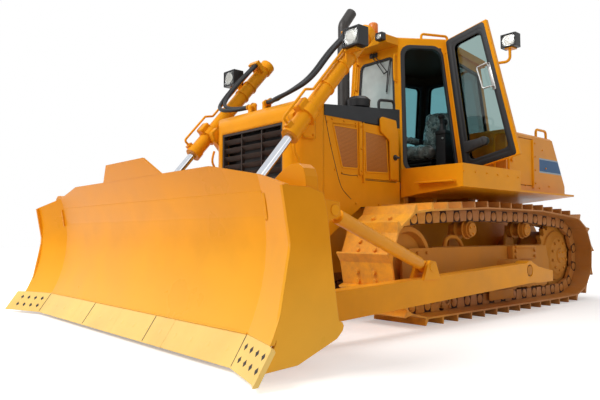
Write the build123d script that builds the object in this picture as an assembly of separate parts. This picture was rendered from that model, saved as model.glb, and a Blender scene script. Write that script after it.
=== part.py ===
from build123d import *
import os
from math import atan2, cos, hypot, pi, radians, sin, sqrt

# A crawler dozer: tracked undercarriage, engine hood, six-sided cab and a lifting blade.
# Millimetres. X runs forward, Y to the machine's left, Z up. The origin is on the ground
# below the middle of the machine, which puts the sprocket axle behind it.

# Reach of the machine ahead of and behind the sprocket axle
front_reach = 5163
rear_reach = 640
axle_x = (rear_reach - front_reach) / 2

# Tracks
track_centre = 1006
shoe_width = 560
shoe_plate = 16
grouser_height = 58
grouser_root = 26
grouser_tip = 14
shoe_pitch = 216
shoe_rise = 62
rail_drop = 46
rail_inner = 54
rail_outer = 92
sprocket_pin_radius = 369
sprocket_height = 515
idler_pin_radius = 376
idler_x = axle_x + 2815
idler_axle_radius = 60
track_gap = 0.3
tip_drop = shoe_rise + shoe_plate + grouser_height
idler_height = tip_drop + idler_pin_radius

# Rollers
roller_count = 7
roller_first_x = axle_x + 430
roller_last_x = axle_x + 2330
roller_radius = 95.7
roller_height = tip_drop + rail_drop + roller_radius + track_gap
roller_shaft = 34
carrier_radius = 80
carrier_height = 808
carrier_xs = [axle_x + 776, axle_x + 1846]
carrier_wrap = carrier_radius + rail_drop + 4

# Track frames
frame_half = 92
skirt_plate = 22
skirt_gap = 8
frame_top = 646
frame_bottom = 392
frame_rear_x = axle_x + 400
frame_front_x = idler_x - 390
skirt_low = 205
skirt_top = 470

# Final drives
drive_case_radius = 280
drive_hub_radius = 205
hub_cap_radius = 87
hub_cap_y = 1116
sprocket_half = 26
tooth_outer = 398
tooth_root = 342
tooth_count = 21

# Main frame, engine and hood
hull_half = 420
hull_plate = 40
hull_low = 430
hull_top = 1010
hull_front_x = axle_x + 3540
hull_rear_x = axle_x - 180
case_rear_x = axle_x - 420
body_half = 600
panel_plate = 24
nose_front_x = axle_x + 3679
nose_rear_x = axle_x + 3330
nose_low = 640
nose_top = 1905
hood_front_top = 1896
nose_corner = 120
nose_wall = 40
grille_half = 450
grille_low = 1235
grille_high = 1714
hood_rear_x = axle_x + 2300
hood_rear_top = 1990
hood_plate = 16
hood_edge = 1800

# Platform, cab and rear tank
deck_front_x = axle_x + 2293
deck_rear_x = axle_x + 60
deck_half = 1309
deck_low = 1208
deck_top = 1400
deck_plate = 18
cab_floor = 1300
cab_top = 2790
cab_floor_plate = 60
cab_wall = 50
roof_thick = 95
roof_lip = 45
roof_edge = 4
visor_front = axle_x + 2127
visor_half = 294
door_shut_low = 1420
door_shut_high = 2775
door_over = 65
door_thick = 42
door_frame = 75
door_lift = 8
door_gap = 6
hinge_radius = 14
lug_radius = 10
door_stand_off = 6
door_open_angle = 125
hinge_out = 34
hinge_back = 22
glass_thick = 6
seat_gap = 0.3
tank_half = 1150
tank_top = 1850
tank_rear_x = axle_x - 60
tank_front_x = axle_x + 1260
tank_door_gap = 8

# Blade
wing_forward = 129
bit_forward = 49
bit_out = 72
edge_x = axle_x + front_reach - bit_forward - wing_forward
edge_height = 28
blade_straight = 1571
blade_half = 1938
blade_top = 1190
blade_top_half = 1112
blade_shoulder = 1107
blade_plate = 28
blade_hollow = 118
edge_top_x = edge_x - 135
edge_top_z = 225
edge_line_x = edge_x - 116.5
edge_line_z = 198
edge_plate = 32
end_plate = 24
beam_back_x = axle_x + 4560
spill_guard_half = 497
spill_guard_rise = 128

# Push arms and lift
lift_x = axle_x + 1353
lift_z = 408
arm_inner = 1312
arm_outer = 1430
trunnion_radius = 58
lift_y = body_half + 130
yoke_x = axle_x + 3650
yoke_z = 1750
rod_pin_x = axle_x + 4520
rod_pin_z = 760
barrel_radius = 68
barrel_bore = 58
rod_radius = 37
barrel_rear = 1090
barrel_front = 285
run_gap = 0.4
pin_radius = 35
ear_half = 72
ear_plate = 28
rail_bar = 14
drawbar_bore = 25.5
yoke_face = body_half + 34
collar_radius = 90
brace_rear = (axle_x + 2953, (arm_inner + arm_outer) / 2, 500)
brace_front = (axle_x + 4330, (blade_straight + blade_half) / 2 - 95, 906)
brace_radius = 48
hose_radius = 19


def block(x0, x1, y0, y1, z0, z1):
    return Pos((x0 + x1) / 2, (y0 + y1) / 2, (z0 + z1) / 2) * Box(
        abs(x1 - x0), abs(y1 - y0), abs(z1 - z0))


def side_prism(points, y0, y1):
    """Outline in X and Z, run across the machine from y0 to y1."""
    wire = Polyline(*[(x, y0, z) for x, z in points], close=True)
    return Solid.extrude(Face(Wire(wire.edges())), Vector(0, y1 - y0, 0))


def front_prism(points, x0, x1):
    """Outline in Y and Z, run forward from x0 to x1."""
    wire = Polyline(*[(x0, y, z) for y, z in points], close=True)
    return Solid.extrude(Face(Wire(wire.edges())), Vector(x1 - x0, 0, 0))


def rod_y(x, z, y0, y1, radius):
    return Pos(x, (y0 + y1) / 2, z) * Rot(90, 0, 0) * Cylinder(radius, abs(y1 - y0))


def rod_z(x, y, z0, z1, radius):
    return Pos(x, y, (z0 + z1) / 2) * Cylinder(radius, abs(z1 - z0))


def rod_between(start, end, radius):
    a, b = Vector(*start), Vector(*end)
    plane = Plane(origin=a, z_dir=(b - a).normalized())
    return plane * Pos(0, 0, (b - a).length / 2) * Cylinder(radius, (b - a).length)


def tube_path(points, radius, bends):
    """A round bar that follows straight runs joined by arcs."""
    path = FilletPolyline(*points, radius=bends)
    start = path.position_at(0)
    return sweep(Plane(origin=start, z_dir=path.tangent_at(0)) * Circle(radius), path=path)


def mirrored(shape):
    return mirror(shape, about=Plane.XZ)


def fuse(pieces):
    total = pieces[0]
    for piece in pieces[1:]:
        total = total + piece
    return total


nodes = {}


def add(name, shape):
    nodes[name] = shape


def add_pair(name, left):
    nodes[name + "_left"] = left
    nodes[name + "_right"] = mirrored(left)


# The track's pin line goes round these circles: x, z, radius of the pin line
def pin_circles():
    rear, front = carrier_xs
    roller_wrap = roller_radius + track_gap + rail_drop
    return [(axle_x, sprocket_height, sprocket_pin_radius),
            (rear, carrier_height, carrier_wrap),
            (front, carrier_height, carrier_wrap),
            (idler_x, idler_height, idler_pin_radius),
            (roller_last_x, roller_height, roller_wrap),
            (roller_first_x, roller_height, roller_wrap)]


def pin_line():
    """Points of the closed pin line, one for each track pin."""
    circles = pin_circles()
    count = len(circles)
    normals = []
    for k in range(count):
        x0, z0, r0 = circles[k]
        x1, z1, r1 = circles[(k + 1) % count]
        span = hypot(x1 - x0, z1 - z0)
        along = ((x1 - x0) / span, (z1 - z0) / span)
        rise = (r0 - r1) / span
        level = sqrt(1 - rise * rise)
        normals.append((along[0] * rise - along[1] * level, along[1] * rise + along[0] * level))
    spans = []
    for k in range(count):
        x, z, r = circles[k]
        into, out = normals[k - 1], normals[k]
        turn = (atan2(into[1], into[0]) - atan2(out[1], out[0])) % (2 * pi)
        spans.append(("arc", r * turn, (x, z, r, atan2(into[1], into[0]))))
        x1, z1, r1 = circles[(k + 1) % count]
        start = (x + r * out[0], z + r * out[1])
        end = (x1 + r1 * out[0], z1 + r1 * out[1])
        spans.append(("line", hypot(end[0] - start[0], end[1] - start[1]), (start, end)))
    total = sum(length for _, length, _ in spans)
    shoes = round(total / shoe_pitch)
    points = []
    for k in range(shoes):
        left = total * k / shoes
        for kind, length, data in spans:
            if left <= length:
                break
            left -= length
        if kind == "arc":
            x, z, r, angle = data
            points.append((x + r * cos(angle - left / r), z + r * sin(angle - left / r)))
        else:
            (ax, az), (bx, bz) = data
            share = left / length
            points.append((ax + share * (bx - ax), az + share * (bz - az)))
    return points


def along_links(pins, stations):
    """Stations on each link: (share of the link, height above the pin line)."""
    outline = []
    for k, (x0, z0) in enumerate(pins):
        x1, z1 = pins[(k + 1) % len(pins)]
        span = hypot(x1 - x0, z1 - z0)
        tx, tz = (x1 - x0) / span, (z1 - z0) / span
        for share, rise in stations:
            outline.append((x0 + share * (x1 - x0) - rise * tz, z0 + share * (z1 - z0) + rise * tx))
    return outline


def track():
    pins = pin_line()
    plate_top = shoe_rise + shoe_plate
    back = 1 - grouser_root / shoe_pitch
    tip_in = 1 - (grouser_root + grouser_tip) / 2 / shoe_pitch
    tip_out = 1 - (grouser_root - grouser_tip) / 2 / shoe_pitch
    outer = along_links(pins, [(0.0, plate_top), (back, plate_top),
                               (tip_in, tip_drop), (tip_out, tip_drop)])
    inner = along_links(pins, [(0.02, shoe_rise), (0.98, shoe_rise)])
    band = side_prism(outer, track_centre - shoe_width / 2, track_centre + shoe_width / 2)
    hole = side_prism(inner, track_centre - shoe_width, track_centre + shoe_width)
    rail_out = along_links(pins, [(0.02, shoe_rise + 6), (0.98, shoe_rise + 6)])
    rail_in = along_links(pins, [(0.0, -rail_drop * 0.7), (0.2, -rail_drop), (0.8, -rail_drop)])
    total = band - hole
    for side in (-1, 1):
        y0, y1 = track_centre + side * rail_inner, track_centre + side * rail_outer
        ring = side_prism(rail_out, y0, y1) - side_prism(rail_in, y0 - side, y1 + side)
        total = total + ring
    return total


def wheel(x, z, profile):
    """A wheel turned about its axle; the profile is distance from the track's middle, radius."""
    wire = Polyline(*[(u, r) for u, r in profile], close=True)
    turned = revolve(make_face(wire.edges()), axis=Axis.X)
    return Pos(x, track_centre, z) * Rot(0, 0, 90) * turned


def idler():
    tread = idler_pin_radius_inside(idler_pin_radius)
    axle = idler_axle_radius - 0.3
    return wheel(idler_x, idler_height, [
        (-122, 0), (-122, axle), (-96, axle), (-96, 90), (-40, 110), (-40, tread - 60), (-96, tread - 40), (-96, tread),
        (-46, tread), (-44, tread + 24), (44, tread + 24), (46, tread), (96, tread),
        (96, tread - 40), (40, tread - 60), (40, 110), (96, 90), (96, axle), (122, axle),
        (122, 0)])


def idler_pin_radius_inside(pin_radius):
    """Radius that the rails' inner face leaves free in a wrap."""
    return sqrt(pin_radius ** 2 - (shoe_pitch / 2) ** 2) - rail_drop - 1.5


def lower_rollers():
    step = (roller_last_x - roller_first_x) / (roller_count - 1)
    profile = [(-100, 0), (-100, roller_shaft), (-98, roller_shaft), (-98, roller_radius),
               (-52, roller_radius), (-50, roller_radius + 14), (-40, roller_radius + 14),
               (-36, roller_radius - 14), (36, roller_radius - 14), (40, roller_radius + 14),
               (50, roller_radius + 14), (52, roller_radius), (98, roller_radius),
               (98, roller_shaft), (100, roller_shaft), (100, 0)]
    rollers = [wheel(roller_first_x + k * step, roller_height, profile)
               for k in range(roller_count)]
    return Compound(children=rollers)


def carrier_rollers():
    cap = hub_cap_y - track_centre
    rollers = []
    for x in carrier_xs:
        roller = wheel(x, carrier_height, [
            (-130, 0), (-130, 40), (-96, 40), (-96, carrier_radius), (-50, carrier_radius),
            (-48, carrier_radius + 16), (-38, carrier_radius + 16), (-34, 62), (34, 62),
            (38, carrier_radius + 16), (48, carrier_radius + 16), (50, carrier_radius),
            (88, carrier_radius), (88, 66), (cap, 66), (cap, 0)])
        foot_z = frame_top - 6 + seat_gap
        post = side_prism([(x - 90, foot_z), (x + 90, foot_z), (x + 52, carrier_height + 52),
                           (x - 52, carrier_height + 52)], track_centre - 130, track_centre - 104)
        rollers.append(roller + post)
    return Compound(children=rollers)


def sprocket():
    teeth = []
    step = 2 * pi / tooth_count
    for k in range(tooth_count):
        for share, r in ((-0.34, tooth_root), (-0.12, tooth_outer), (0.12, tooth_outer),
                         (0.34, tooth_root)):
            a = (k + share) * step
            teeth.append((axle_x + r * cos(a), sprocket_height + r * sin(a)))
    ring = side_prism(teeth, track_centre - sprocket_half, track_centre + sprocket_half)
    inner_y = hull_half + seat_gap - track_centre
    hub = wheel(axle_x, sprocket_height, [
        (inner_y, 0), (inner_y, 230), (-300, 230), (-270, drive_case_radius),
        (-sprocket_half + 1, drive_case_radius), (sprocket_half - 1, drive_case_radius + 8),
        (44, drive_case_radius), (60, drive_hub_radius + 30), (78, drive_hub_radius),
        (92, 130), (96, hub_cap_radius), (hub_cap_y - track_centre, hub_cap_radius - 8),
        (hub_cap_y - track_centre, 0)])
    return ring + hub


def track_frame():
    y_in, y_out = track_centre - frame_half, track_centre + frame_half
    beam = block(frame_rear_x, frame_front_x, y_in, y_out, frame_bottom, frame_top)
    beam = chamfer([e for e in beam.edges().filter_by(Axis.X) if e.center().Z > frame_top - 1], 38)
    pieces = [beam]
    skirt = [(frame_rear_x - 60, skirt_low + 60), (frame_rear_x, skirt_low),
             (frame_front_x + 150, skirt_low), (frame_front_x + 300, 330),
             (idler_x + 120, 330), (idler_x + 120, 560), (idler_x + 20, frame_top - 6),
             (frame_rear_x, frame_top - 6), (frame_rear_x - 60, skirt_top)]
    for side in (-1, 1):
        near = track_centre + side * frame_half
        inner = track_centre + side * (frame_half + skirt_gap)
        outer = inner + side * skirt_plate
        pieces.append(side_prism(skirt, inner, outer))
        pieces.append(block(frame_rear_x, frame_front_x, near - side, inner + side,
                            frame_bottom + 20, frame_top - 20))
    skirt_y = track_centre + frame_half + skirt_gap
    pieces.append(rod_y(lift_x, lift_z, skirt_y, arm_inner - 6, 105))
    pieces.append(rod_y(lift_x, lift_z, arm_inner - 6, arm_outer - 20, trunnion_radius))
    body = fuse(pieces)
    return body - rod_y(idler_x, idler_height, track_centre - 140, track_centre + 140,
                        idler_axle_radius)


def main_frame():
    pieces = []
    for side in (-1, 1):
        pieces.append(block(hull_rear_x, hull_front_x, side * hull_half,
                            side * (hull_half - hull_plate), hull_low, hull_top))
    pieces.append(block(hull_rear_x, hull_front_x, -hull_half, hull_half,
                        hull_low - 20, hull_low + 20))
    pieces.append(block(hull_front_x - 60, hull_front_x, -hull_half, hull_half,
                        hull_low, nose_low + 200))
    pieces.append(block(case_rear_x, axle_x + 700, -hull_half + 10, hull_half - 10, 470, 1100))
    seat = cab_floor - seat_gap
    pieces.append(block(axle_x + 480, axle_x + 640, -300, 300, 1090, seat))
    for side in (-1, 1):
        outer = side * (body_half + 6 - seat_gap)
        for x in (axle_x + 1700, axle_x + 2180):
            pieces.append(block(x, x + 70, side * (hull_half - hull_plate), outer, 900, 1200))
        pieces.append(block(axle_x + 1700, axle_x + 1770, side * (hull_half - hull_plate),
                            side * hull_half, 1000, seat))
        pieces.append(block(axle_x + 500, axle_x + 600, side * 400, outer, 950, 1190))
        pieces.append(block(axle_x + 3400, axle_x + 3460, side * (hull_half - hull_plate),
                            side * (body_half - nose_wall - seat_gap), 700, 760))
    inner = track_centre - frame_half - skirt_gap - skirt_plate
    for x, z, r in ((axle_x + 600, 540, 85), (axle_x + 2150, 540, 75)):
        pieces.append(rod_y(x, z, -inner, inner, r))
    return fuse(pieces)


def engine():
    block_body = block(axle_x + 2380, axle_x + 3240, -330, 330, 700, 1780)
    for x in (axle_x + 2440, axle_x + 3060):
        reach = hull_half - hull_plate - seat_gap
        block_body += block(x, x + 120, -reach, reach, 760, 820)
    return block_body


def nose():
    outer = block(nose_rear_x, nose_front_x, -body_half, body_half, nose_low, nose_top)
    front = [e for e in outer.edges() if abs(e.center().X - nose_front_x) < 1
             and (abs(abs(e.center().Y) - body_half) < 1 or abs(e.center().Z - nose_top) < 1)]
    outer = fillet(front, nose_corner)
    room = block(nose_rear_x - 1, nose_front_x - nose_wall, -body_half + nose_wall,
                 body_half - nose_wall, nose_low - 1, nose_top - nose_wall)
    window = block(nose_front_x - nose_wall - 1, nose_front_x + 1, -grille_half, grille_half,
                   grille_low, grille_high)
    total = outer - room - window
    for piece in (yoke(), elbows()):
        total = total + piece + mirrored(piece)
    return total


def grille():
    depth = 46
    bar = 12
    x1 = nose_front_x - 4
    x0 = x1 - depth
    gap = 0.3
    y = grille_half - gap
    z0, z1 = grille_low + gap, grille_high - gap
    frame = block(x0, x1, -y, y, z0, z1) - block(x0 - 1, x1 + 1, -y + 22, y - 22, z0 + 22, z1 - 22)
    pieces = [frame]
    rows = 6
    for k in range(1, rows):
        z = z0 + (z1 - z0) * k / rows
        slat = [(x0, z - 24), (x0 + bar, z - 24), (x1 - 2, z + 20), (x1 - 2 - bar, z + 20)]
        pieces.append(side_prism(slat, -y + 20, y - 20))
    for side in (-1, 1):
        centre = side * grille_half / 3
        pieces.append(block(x0 + 8, x1 - 6, centre - 6, centre + 6, z0 + 20, z1 - 20))
    return fuse(pieces)


def radiator():
    return block(nose_rear_x + 60, nose_rear_x + 190, -body_half + nose_wall + 0.3,
                 body_half - nose_wall - 0.3, hull_top + seat_gap,
                 nose_top - nose_wall - seat_gap)


def hood_line(x):
    """Height of the hood's upper face at x."""
    share = (nose_rear_x - x) / (nose_rear_x - hood_rear_x)
    return hood_front_top + share * (hood_rear_top - hood_front_top)


def hood_top():
    half = body_half + 6
    front = nose_rear_x - seat_gap
    outline = [(front, hood_line(front)), (hood_rear_x, hood_line(hood_rear_x)),
               (hood_rear_x, hood_edge), (front, hood_edge)]
    room = [(front + 1, hood_line(front) - hood_plate),
            (hood_rear_x - 1, hood_line(hood_rear_x) - hood_plate),
            (hood_rear_x - 1, hood_edge - 1), (front + 1, hood_edge - 1)]
    return side_prism(outline, -half, half) - side_prism(room, -body_half, body_half)


# Engine door: rear, front, low and high edges, on both sides of the hood
door_rear_x = hood_rear_x + 14
door_front_x = axle_x + 2836
door_low = 1276
door_high = hood_edge - 8


def side_panel():
    y1 = body_half - seat_gap
    y0 = y1 - panel_plate
    front = nose_rear_x - seat_gap
    top = hood_edge + 16
    outline = [(front, nose_low + 60), (front, top), (hood_rear_x, top), (hood_rear_x, 1010),
               (axle_x + 2860, 1010)]
    plate = side_prism(outline, y0, y1)
    doorway = block(door_rear_x - 30, door_front_x + door_gap, y0 - 1, y1 + 1,
                    door_low - door_gap, top + 1)
    mesh = [(axle_x + 3230, 1745), (axle_x + 2920, 1760), (axle_x + 2920, 1395),
            (axle_x + 3110, 1360)]
    lug = block(door_front_x - 14, door_front_x + 6, y1 - 1, y1 + 20, door_low - 40,
                door_low - seat_gap)
    return plate - doorway - side_prism(mesh, y1 - 10, y1 + 1) + lug


def engine_door():
    y1 = body_half - seat_gap
    y0 = y1 - panel_plate
    plate = block(door_rear_x, door_front_x, y0, y1, door_low, door_high)
    mesh = block(door_front_x - 400, door_front_x - 90, y1 - 10, y1 + 1, door_low + 90,
                 door_high - 120)
    latch = rod_y(door_rear_x + 60, 1480, y1 - 1, y1 + 22, 22)
    hinge = rod_z(door_front_x - 4, y1 + 9, door_low, door_high, 10)
    return plate - mesh + latch + hinge


def deck():
    """Left half of the platform: flat deck, front wall, side lip and underside."""
    inner = body_half + 6
    slab = [(inner, deck_top - deck_plate), (inner, deck_top), (deck_half, deck_top),
            (deck_half, deck_low), (deck_half - deck_plate, deck_low - 1),
            (deck_half - deck_plate, deck_top - deck_plate)]
    main = front_prism(slab, tank_front_x + 6, deck_front_x)
    wall = front_prism([(inner, deck_low - 90), (inner, deck_top), (deck_half, deck_top),
                        (deck_half, deck_low)], deck_front_x - deck_plate, deck_front_x)
    rear = front_prism([(inner, deck_low - 60), (inner, deck_low), (deck_half, deck_low),
                        (deck_half, deck_low - 20), (inner + 20, deck_low - 80)],
                       deck_rear_x, deck_front_x)
    return main + wall + rear - cab_solid(-0.5, deck_low - 200, cab_top)


# Cab corners on the left, ahead of the sprocket axle and half width: windshield, door, rear
cab_floor_plan = [(1992, 376), (1412, 774), (430, 580)]
cab_top_front = (1932, 300)
door_facet_share = 0.78
side_facet_share = 1.0


def cab_outline(z, inset=0):
    """The six corners of the cab's outer wall at height z, moved in by inset."""
    (ax, ay), (bx, by), (cx, cy) = cab_floor_plan
    tops = [cab_top_front]
    tops.append((tops[0][0] + door_facet_share * (bx - ax),
                 tops[0][1] + door_facet_share * (by - ay)))
    tops.append((tops[1][0] + side_facet_share * (cx - bx),
                 tops[1][1] + side_facet_share * (cy - by)))
    share = (z - cab_floor) / (cab_top - cab_floor)
    left = [(axle_x + f[0] + share * (t[0] - f[0]), f[1] + share * (t[1] - f[1]))
            for f, t in zip(cab_floor_plan, tops)]
    return inset_outline(left + [(x, -y) for x, y in reversed(left)], inset)


def inset_outline(points, inset):
    """A closed outline, run anticlockwise, with each side moved in by the same distance."""
    count = len(points)
    moved = []
    for k in range(count):
        lines = []
        for first in (k - 1, k):
            (x0, y0), (x1, y1) = points[first % count], points[(first + 1) % count]
            length = hypot(x1 - x0, y1 - y0)
            dx, dy = (x1 - x0) / length, (y1 - y0) / length
            lines.append((x0 - inset * dy, y0 + inset * dx, dx, dy))
        (px, py, ax, ay), (qx, qy, bx, by) = lines
        t = ((qx - px) * by - (qy - py) * bx) / (ax * by - ay * bx)
        moved.append((px + t * ax, py + t * ay))
    return moved


def ruled(levels):
    """Solid between outlines at several heights: (points in X and Y, z) each."""
    wires = [Wire(Polyline(*[(x, y, z) for x, y in points], close=True).edges())
             for points, z in levels]
    return Solid.make_loft(wires, ruled=True)


def cab_solid(inset, z0, z1):
    return ruled([(cab_outline(z0, inset), z0), (cab_outline(z1, inset), z1)])


def facet_plate(first, second, start, end, z0, z1, out, thick):
    """Plate in a facet between two distances from its ends; its face stands 'out' of the wall."""
    levels = []
    for z in (z0, z1):
        outline = cab_outline(z)
        (ax, ay), (bx, by) = outline[first], outline[second]
        length = hypot(bx - ax, by - ay)
        dx, dy = (bx - ax) / length, (by - ay) / length
        points = []
        for along, rise in ((start, out), (length - end, out), (length - end, out - thick),
                            (start, out - thick)):
            points.append((ax + along * dx + rise * dy, ay + along * dy - rise * dx))
        levels.append((points, z))
    return ruled(levels)


# Ends of the cab doors' hinge bars
hinge_low = 1450
hinge_high = 2710

# Fixed cab windows: first and second corner, margins from both corners, low and high
cab_windows = [(5, 0, 60, 60, 1760, 2690), (1, 2, 90, 90, 1760, 2690),
               (3, 4, 90, 90, 1760, 2690), (2, 3, 90, 90, 1760, 2690)]
# Doorways: first and second corner, margins from both corners
cab_doorways = [(0, 1, 55, 70), (4, 5, 70, 55)]


def cab_shell():
    shell = cab_solid(0, cab_floor, cab_top) - cab_solid(
        cab_wall, cab_floor + cab_floor_plate, cab_top + 1)
    for first, second, start, end, z0, z1 in cab_windows:
        shell -= facet_plate(first, second, start, end, z0, z1, 100, 200)
    for first, second, start, end in cab_doorways:
        shell -= facet_plate(first, second, start, end, door_shut_low, door_shut_high, 100, 200)
    for lug in hinge_lugs():
        shell = shell + lug + mirrored(lug)
    return shell


def cab_glass():
    panes = []
    for first, second, start, end, z0, z1 in cab_windows:
        panes.append(facet_plate(first, second, start + seat_gap, end + seat_gap,
                                 z0 + seat_gap, z1 - seat_gap, -12, glass_thick))
    return Compound(children=panes)


def roof():
    outline = cab_outline(cab_top, roof_edge)
    outline[2:4] = cab_outline(cab_top, -roof_lip)[2:4]
    outline += [(visor_front, -visor_half), (visor_front, visor_half)]
    low = cab_top + seat_gap
    rise = roof_thick - 14
    brim = ruled([(outline, low), (outline, low + rise)])
    crown = ruled([(outline, low + rise - 1), (inset_outline(outline, 20), low + roof_thick)])
    return brim + crown


def hinge_point(z, out=hinge_out):
    """Point beside the left door's rear pillar at height z, at a distance from the wall."""
    outline = cab_outline(z)
    (ax, ay), (bx, by) = outline[0], outline[1]
    length = hypot(bx - ax, by - ay)
    dx, dy = (bx - ax) / length, (by - ay) / length
    return (bx - hinge_back * dx + out * dy, by - hinge_back * dy - out * dx, z)


def hinge_line():
    """Two points on the left cab door's leaning hinge axis."""
    return [hinge_point(door_shut_low), hinge_point(door_shut_high)]


def hinge_lugs():
    """Lugs on the left door pillar, under and over the door's hinge bar."""
    lugs = []
    for z0, z1 in ((hinge_low - 36, hinge_low - seat_gap), (hinge_high + seat_gap, hinge_high + 36)):
        middle = (z0 + z1) / 2
        web = rod_between(hinge_point(middle), hinge_point(middle, -10), lug_radius)
        lugs.append(rod_between(hinge_point(z0), hinge_point(z1), lug_radius) + web)
    return lugs


def door_swing(shape, angle):
    low, high = hinge_line()
    direction = tuple(b - a for a, b in zip(low, high))
    return shape.rotate(Axis(low, direction), angle)


def cab_door():
    out = door_stand_off + door_thick
    low, high = deck_top + door_lift, door_shut_high + door_over
    plate = facet_plate(0, 1, 12, 34, low, high, out, door_thick)
    window = facet_plate(0, 1, 12 + door_frame, 40 + door_frame, low + 80, high - 77, out + 5,
                         door_thick + 10)
    pane = facet_plate(0, 1, 12 + door_frame + seat_gap, 40 + door_frame + seat_gap,
                       low + 80 + seat_gap, high - 77 - seat_gap, out - 16, glass_thick)
    hinge = rod_between(hinge_point(hinge_low), hinge_point(hinge_high), hinge_radius)
    return plate - window + hinge, pane


def seat():
    x = axle_x + 1010
    low = cab_floor + cab_floor_plate
    base = block(x - 200, x + 210, -190, 190, low, low + 300)
    cushion = fillet(block(x - 240, x + 270, -250, 250, low + 300, low + 430).edges(), 40)
    back = side_prism([(x - 250, low + 380), (x - 130, low + 380), (x - 230, low + 1010),
                       (x - 340, low + 1010)], -240, 240)
    back = fillet(back.edges().filter_by(Axis.Y), 30)
    arms = [block(x - 200, x + 130, side * 256, side * 330, low + 540, low + 600)
            + block(x - 200, x - 130, side * 235, side * 300, low + 440, low + 560)
            for side in (-1, 1)]
    return base + cushion + back + arms[0] + arms[1]


def consoles():
    low = cab_floor + cab_floor_plate + seat_gap
    x = axle_x + 1010
    pieces = [block(x + 60, x + 330, 345, 470, low, low + 520),
              block(x + 60, x + 330, -470, -345, low, low + 520)]
    for y in (407, -407):
        pieces.append(rod_z(x + 240, y, low + 519, low + 640, 14))
        pieces.append(Pos(x + 240, y, low + 665) * Sphere(34))
    dash = side_prism([(axle_x + 1800, low), (axle_x + 1880, low), (axle_x + 1880, low + 520),
                       (axle_x + 1740, low + 600), (axle_x + 1740, low + 560)], -220, 220)
    return Compound(children=[pieces[0] + pieces[2] + pieces[3],
                              pieces[1] + pieces[4] + pieces[5], dash])


def tank_outline():
    return [(tank_rear_x, deck_low + seat_gap), (tank_rear_x, deck_low + 110),
            (tank_rear_x + 300, tank_top), (tank_front_x, tank_top),
            (tank_front_x, deck_low + seat_gap)]


# Service door in the left side of the tank body: rear, front, low and high edges
tank_door_rear = axle_x + 690
tank_door_front = axle_x + 1225
tank_door_low = 1290
tank_door_high = 1790
tank_door_thick = 24


def tank():
    body = side_prism(tank_outline(), -tank_half, tank_half)
    edges = [e for e in body.edges().filter_by(Axis.X)
             if abs(e.center().Z - tank_top) < 1]
    body = chamfer(edges, 22)
    body -= ruled([(cab_outline(1200, -14), 1200), (cab_outline(1950, -14), 1950)])
    gap = tank_door_gap
    body -= block(tank_door_rear - gap, tank_door_front + gap, tank_half - tank_door_thick - gap,
                  tank_half + 10, tank_door_low - gap, tank_door_high + gap)
    return body + block(tank_door_rear - 2, tank_door_rear + 26, tank_half - 1, tank_half + 18,
                        tank_door_low - 30, tank_door_low - seat_gap)


def tank_door():
    y1 = tank_half
    y0 = y1 - tank_door_thick
    plate = block(tank_door_rear, tank_door_front, y0, y1, tank_door_low, tank_door_high)
    hinge = rod_z(tank_door_rear + 12, y1 + 4, tank_door_low, tank_door_high, 14)
    latch = rod_y(tank_door_front - 70, 1540, y1 - 1, y1 + 26, 24)
    return plate + hinge + latch


def drawbar():
    rear = axle_x - rear_reach
    plates = [block(rear, case_rear_x - seat_gap, -110, 110, 430 + dz, 470 + dz)
              for dz in (0, 110)]
    web = block(rear + 170, case_rear_x - seat_gap, -110, 110, 470, 540)
    back = block(case_rear_x - 40, case_rear_x - seat_gap, -200, 200, 400, 700)
    bore = rod_z(rear + 80, 0, 400, 600, drawbar_bore)
    return fuse([plates[0], plates[1], web, back]) - bore


def stack():
    x, y = axle_x + 2590, 120
    low = hood_line(x - 62) + seat_gap
    pipe = rod_z(x, y, low, 2740, 62)
    bend = tube_path([(x, y, 2739), (x, y, 2900), (x - 120, y, 3060)], 55, 90)
    foot = rod_z(x, y, low + 8, low + 20, 84)
    return pipe + bend + foot


def pre_cleaner():
    x, y = axle_x + 2560, 300
    low = hood_line(x - 70) + seat_gap
    profile = [(0, 0), (70, 0), (70, 40), (110, 50), (118, 120), (90, 150), (0, 156)]
    wire = Polyline(*[(r, 0, low + z) for r, z in profile], close=True)
    return Pos(x, y, 0) * revolve(make_face(wire.edges()), axis=Axis.Z)


def hood_rails():
    y = body_half - 40
    rails = []
    for x0, x1, side in ((axle_x + 2330, axle_x + 2560, 1), (axle_x + 2330, axle_x + 2560, -1)):
        rails.append(tube_path([(x0, side * y, hood_line(x0 - rail_bar) + seat_gap),
                                (x0, side * y, hood_line(x0) + 90),
                                (x1, side * y, hood_line(x1) + 90),
                                (x1, side * y, hood_line(x1 - rail_bar) + seat_gap)],
                               rail_bar, 40))
    return Compound(children=rails)


def handrails():
    """Yellow rails on the tank, beside the doors and on the roof, with the work lamp's arm."""
    rails = []
    for side in (1, -1):
        rails.append(tube_path([(tank_front_x - 750, side * 1100, tank_top + 0.3),
                                (tank_front_x - 750, side * 1100, tank_top + 90),
                                (tank_front_x - 985, side * 1100, tank_top + 90),
                                (tank_front_x - 985, side * 1100, tank_top + 0.3)], rail_bar, 40))
        rails.append(tube_path([(tank_front_x + 36, side * 1040, deck_top + 0.3),
                                (tank_front_x + 36, side * 1040, deck_top + 400),
                                (tank_front_x + 36, side * 1200, deck_top + 400),
                                (tank_front_x + 36, side * 1200, deck_top + 0.3)], rail_bar, 50))
        low = cab_top + seat_gap + roof_thick
        x0, y0, x1, y1 = axle_x + 1685, side * 420, axle_x + 1400, side * 556
        rails.append(tube_path([(x0, y0, low + 0.3), (x0, y0, low + 56), (x1, y1, low + 56),
                                (x1, y1, low + 0.3)], rail_bar, 30))
    return Compound(children=rails + [lamp_arm()])


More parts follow.
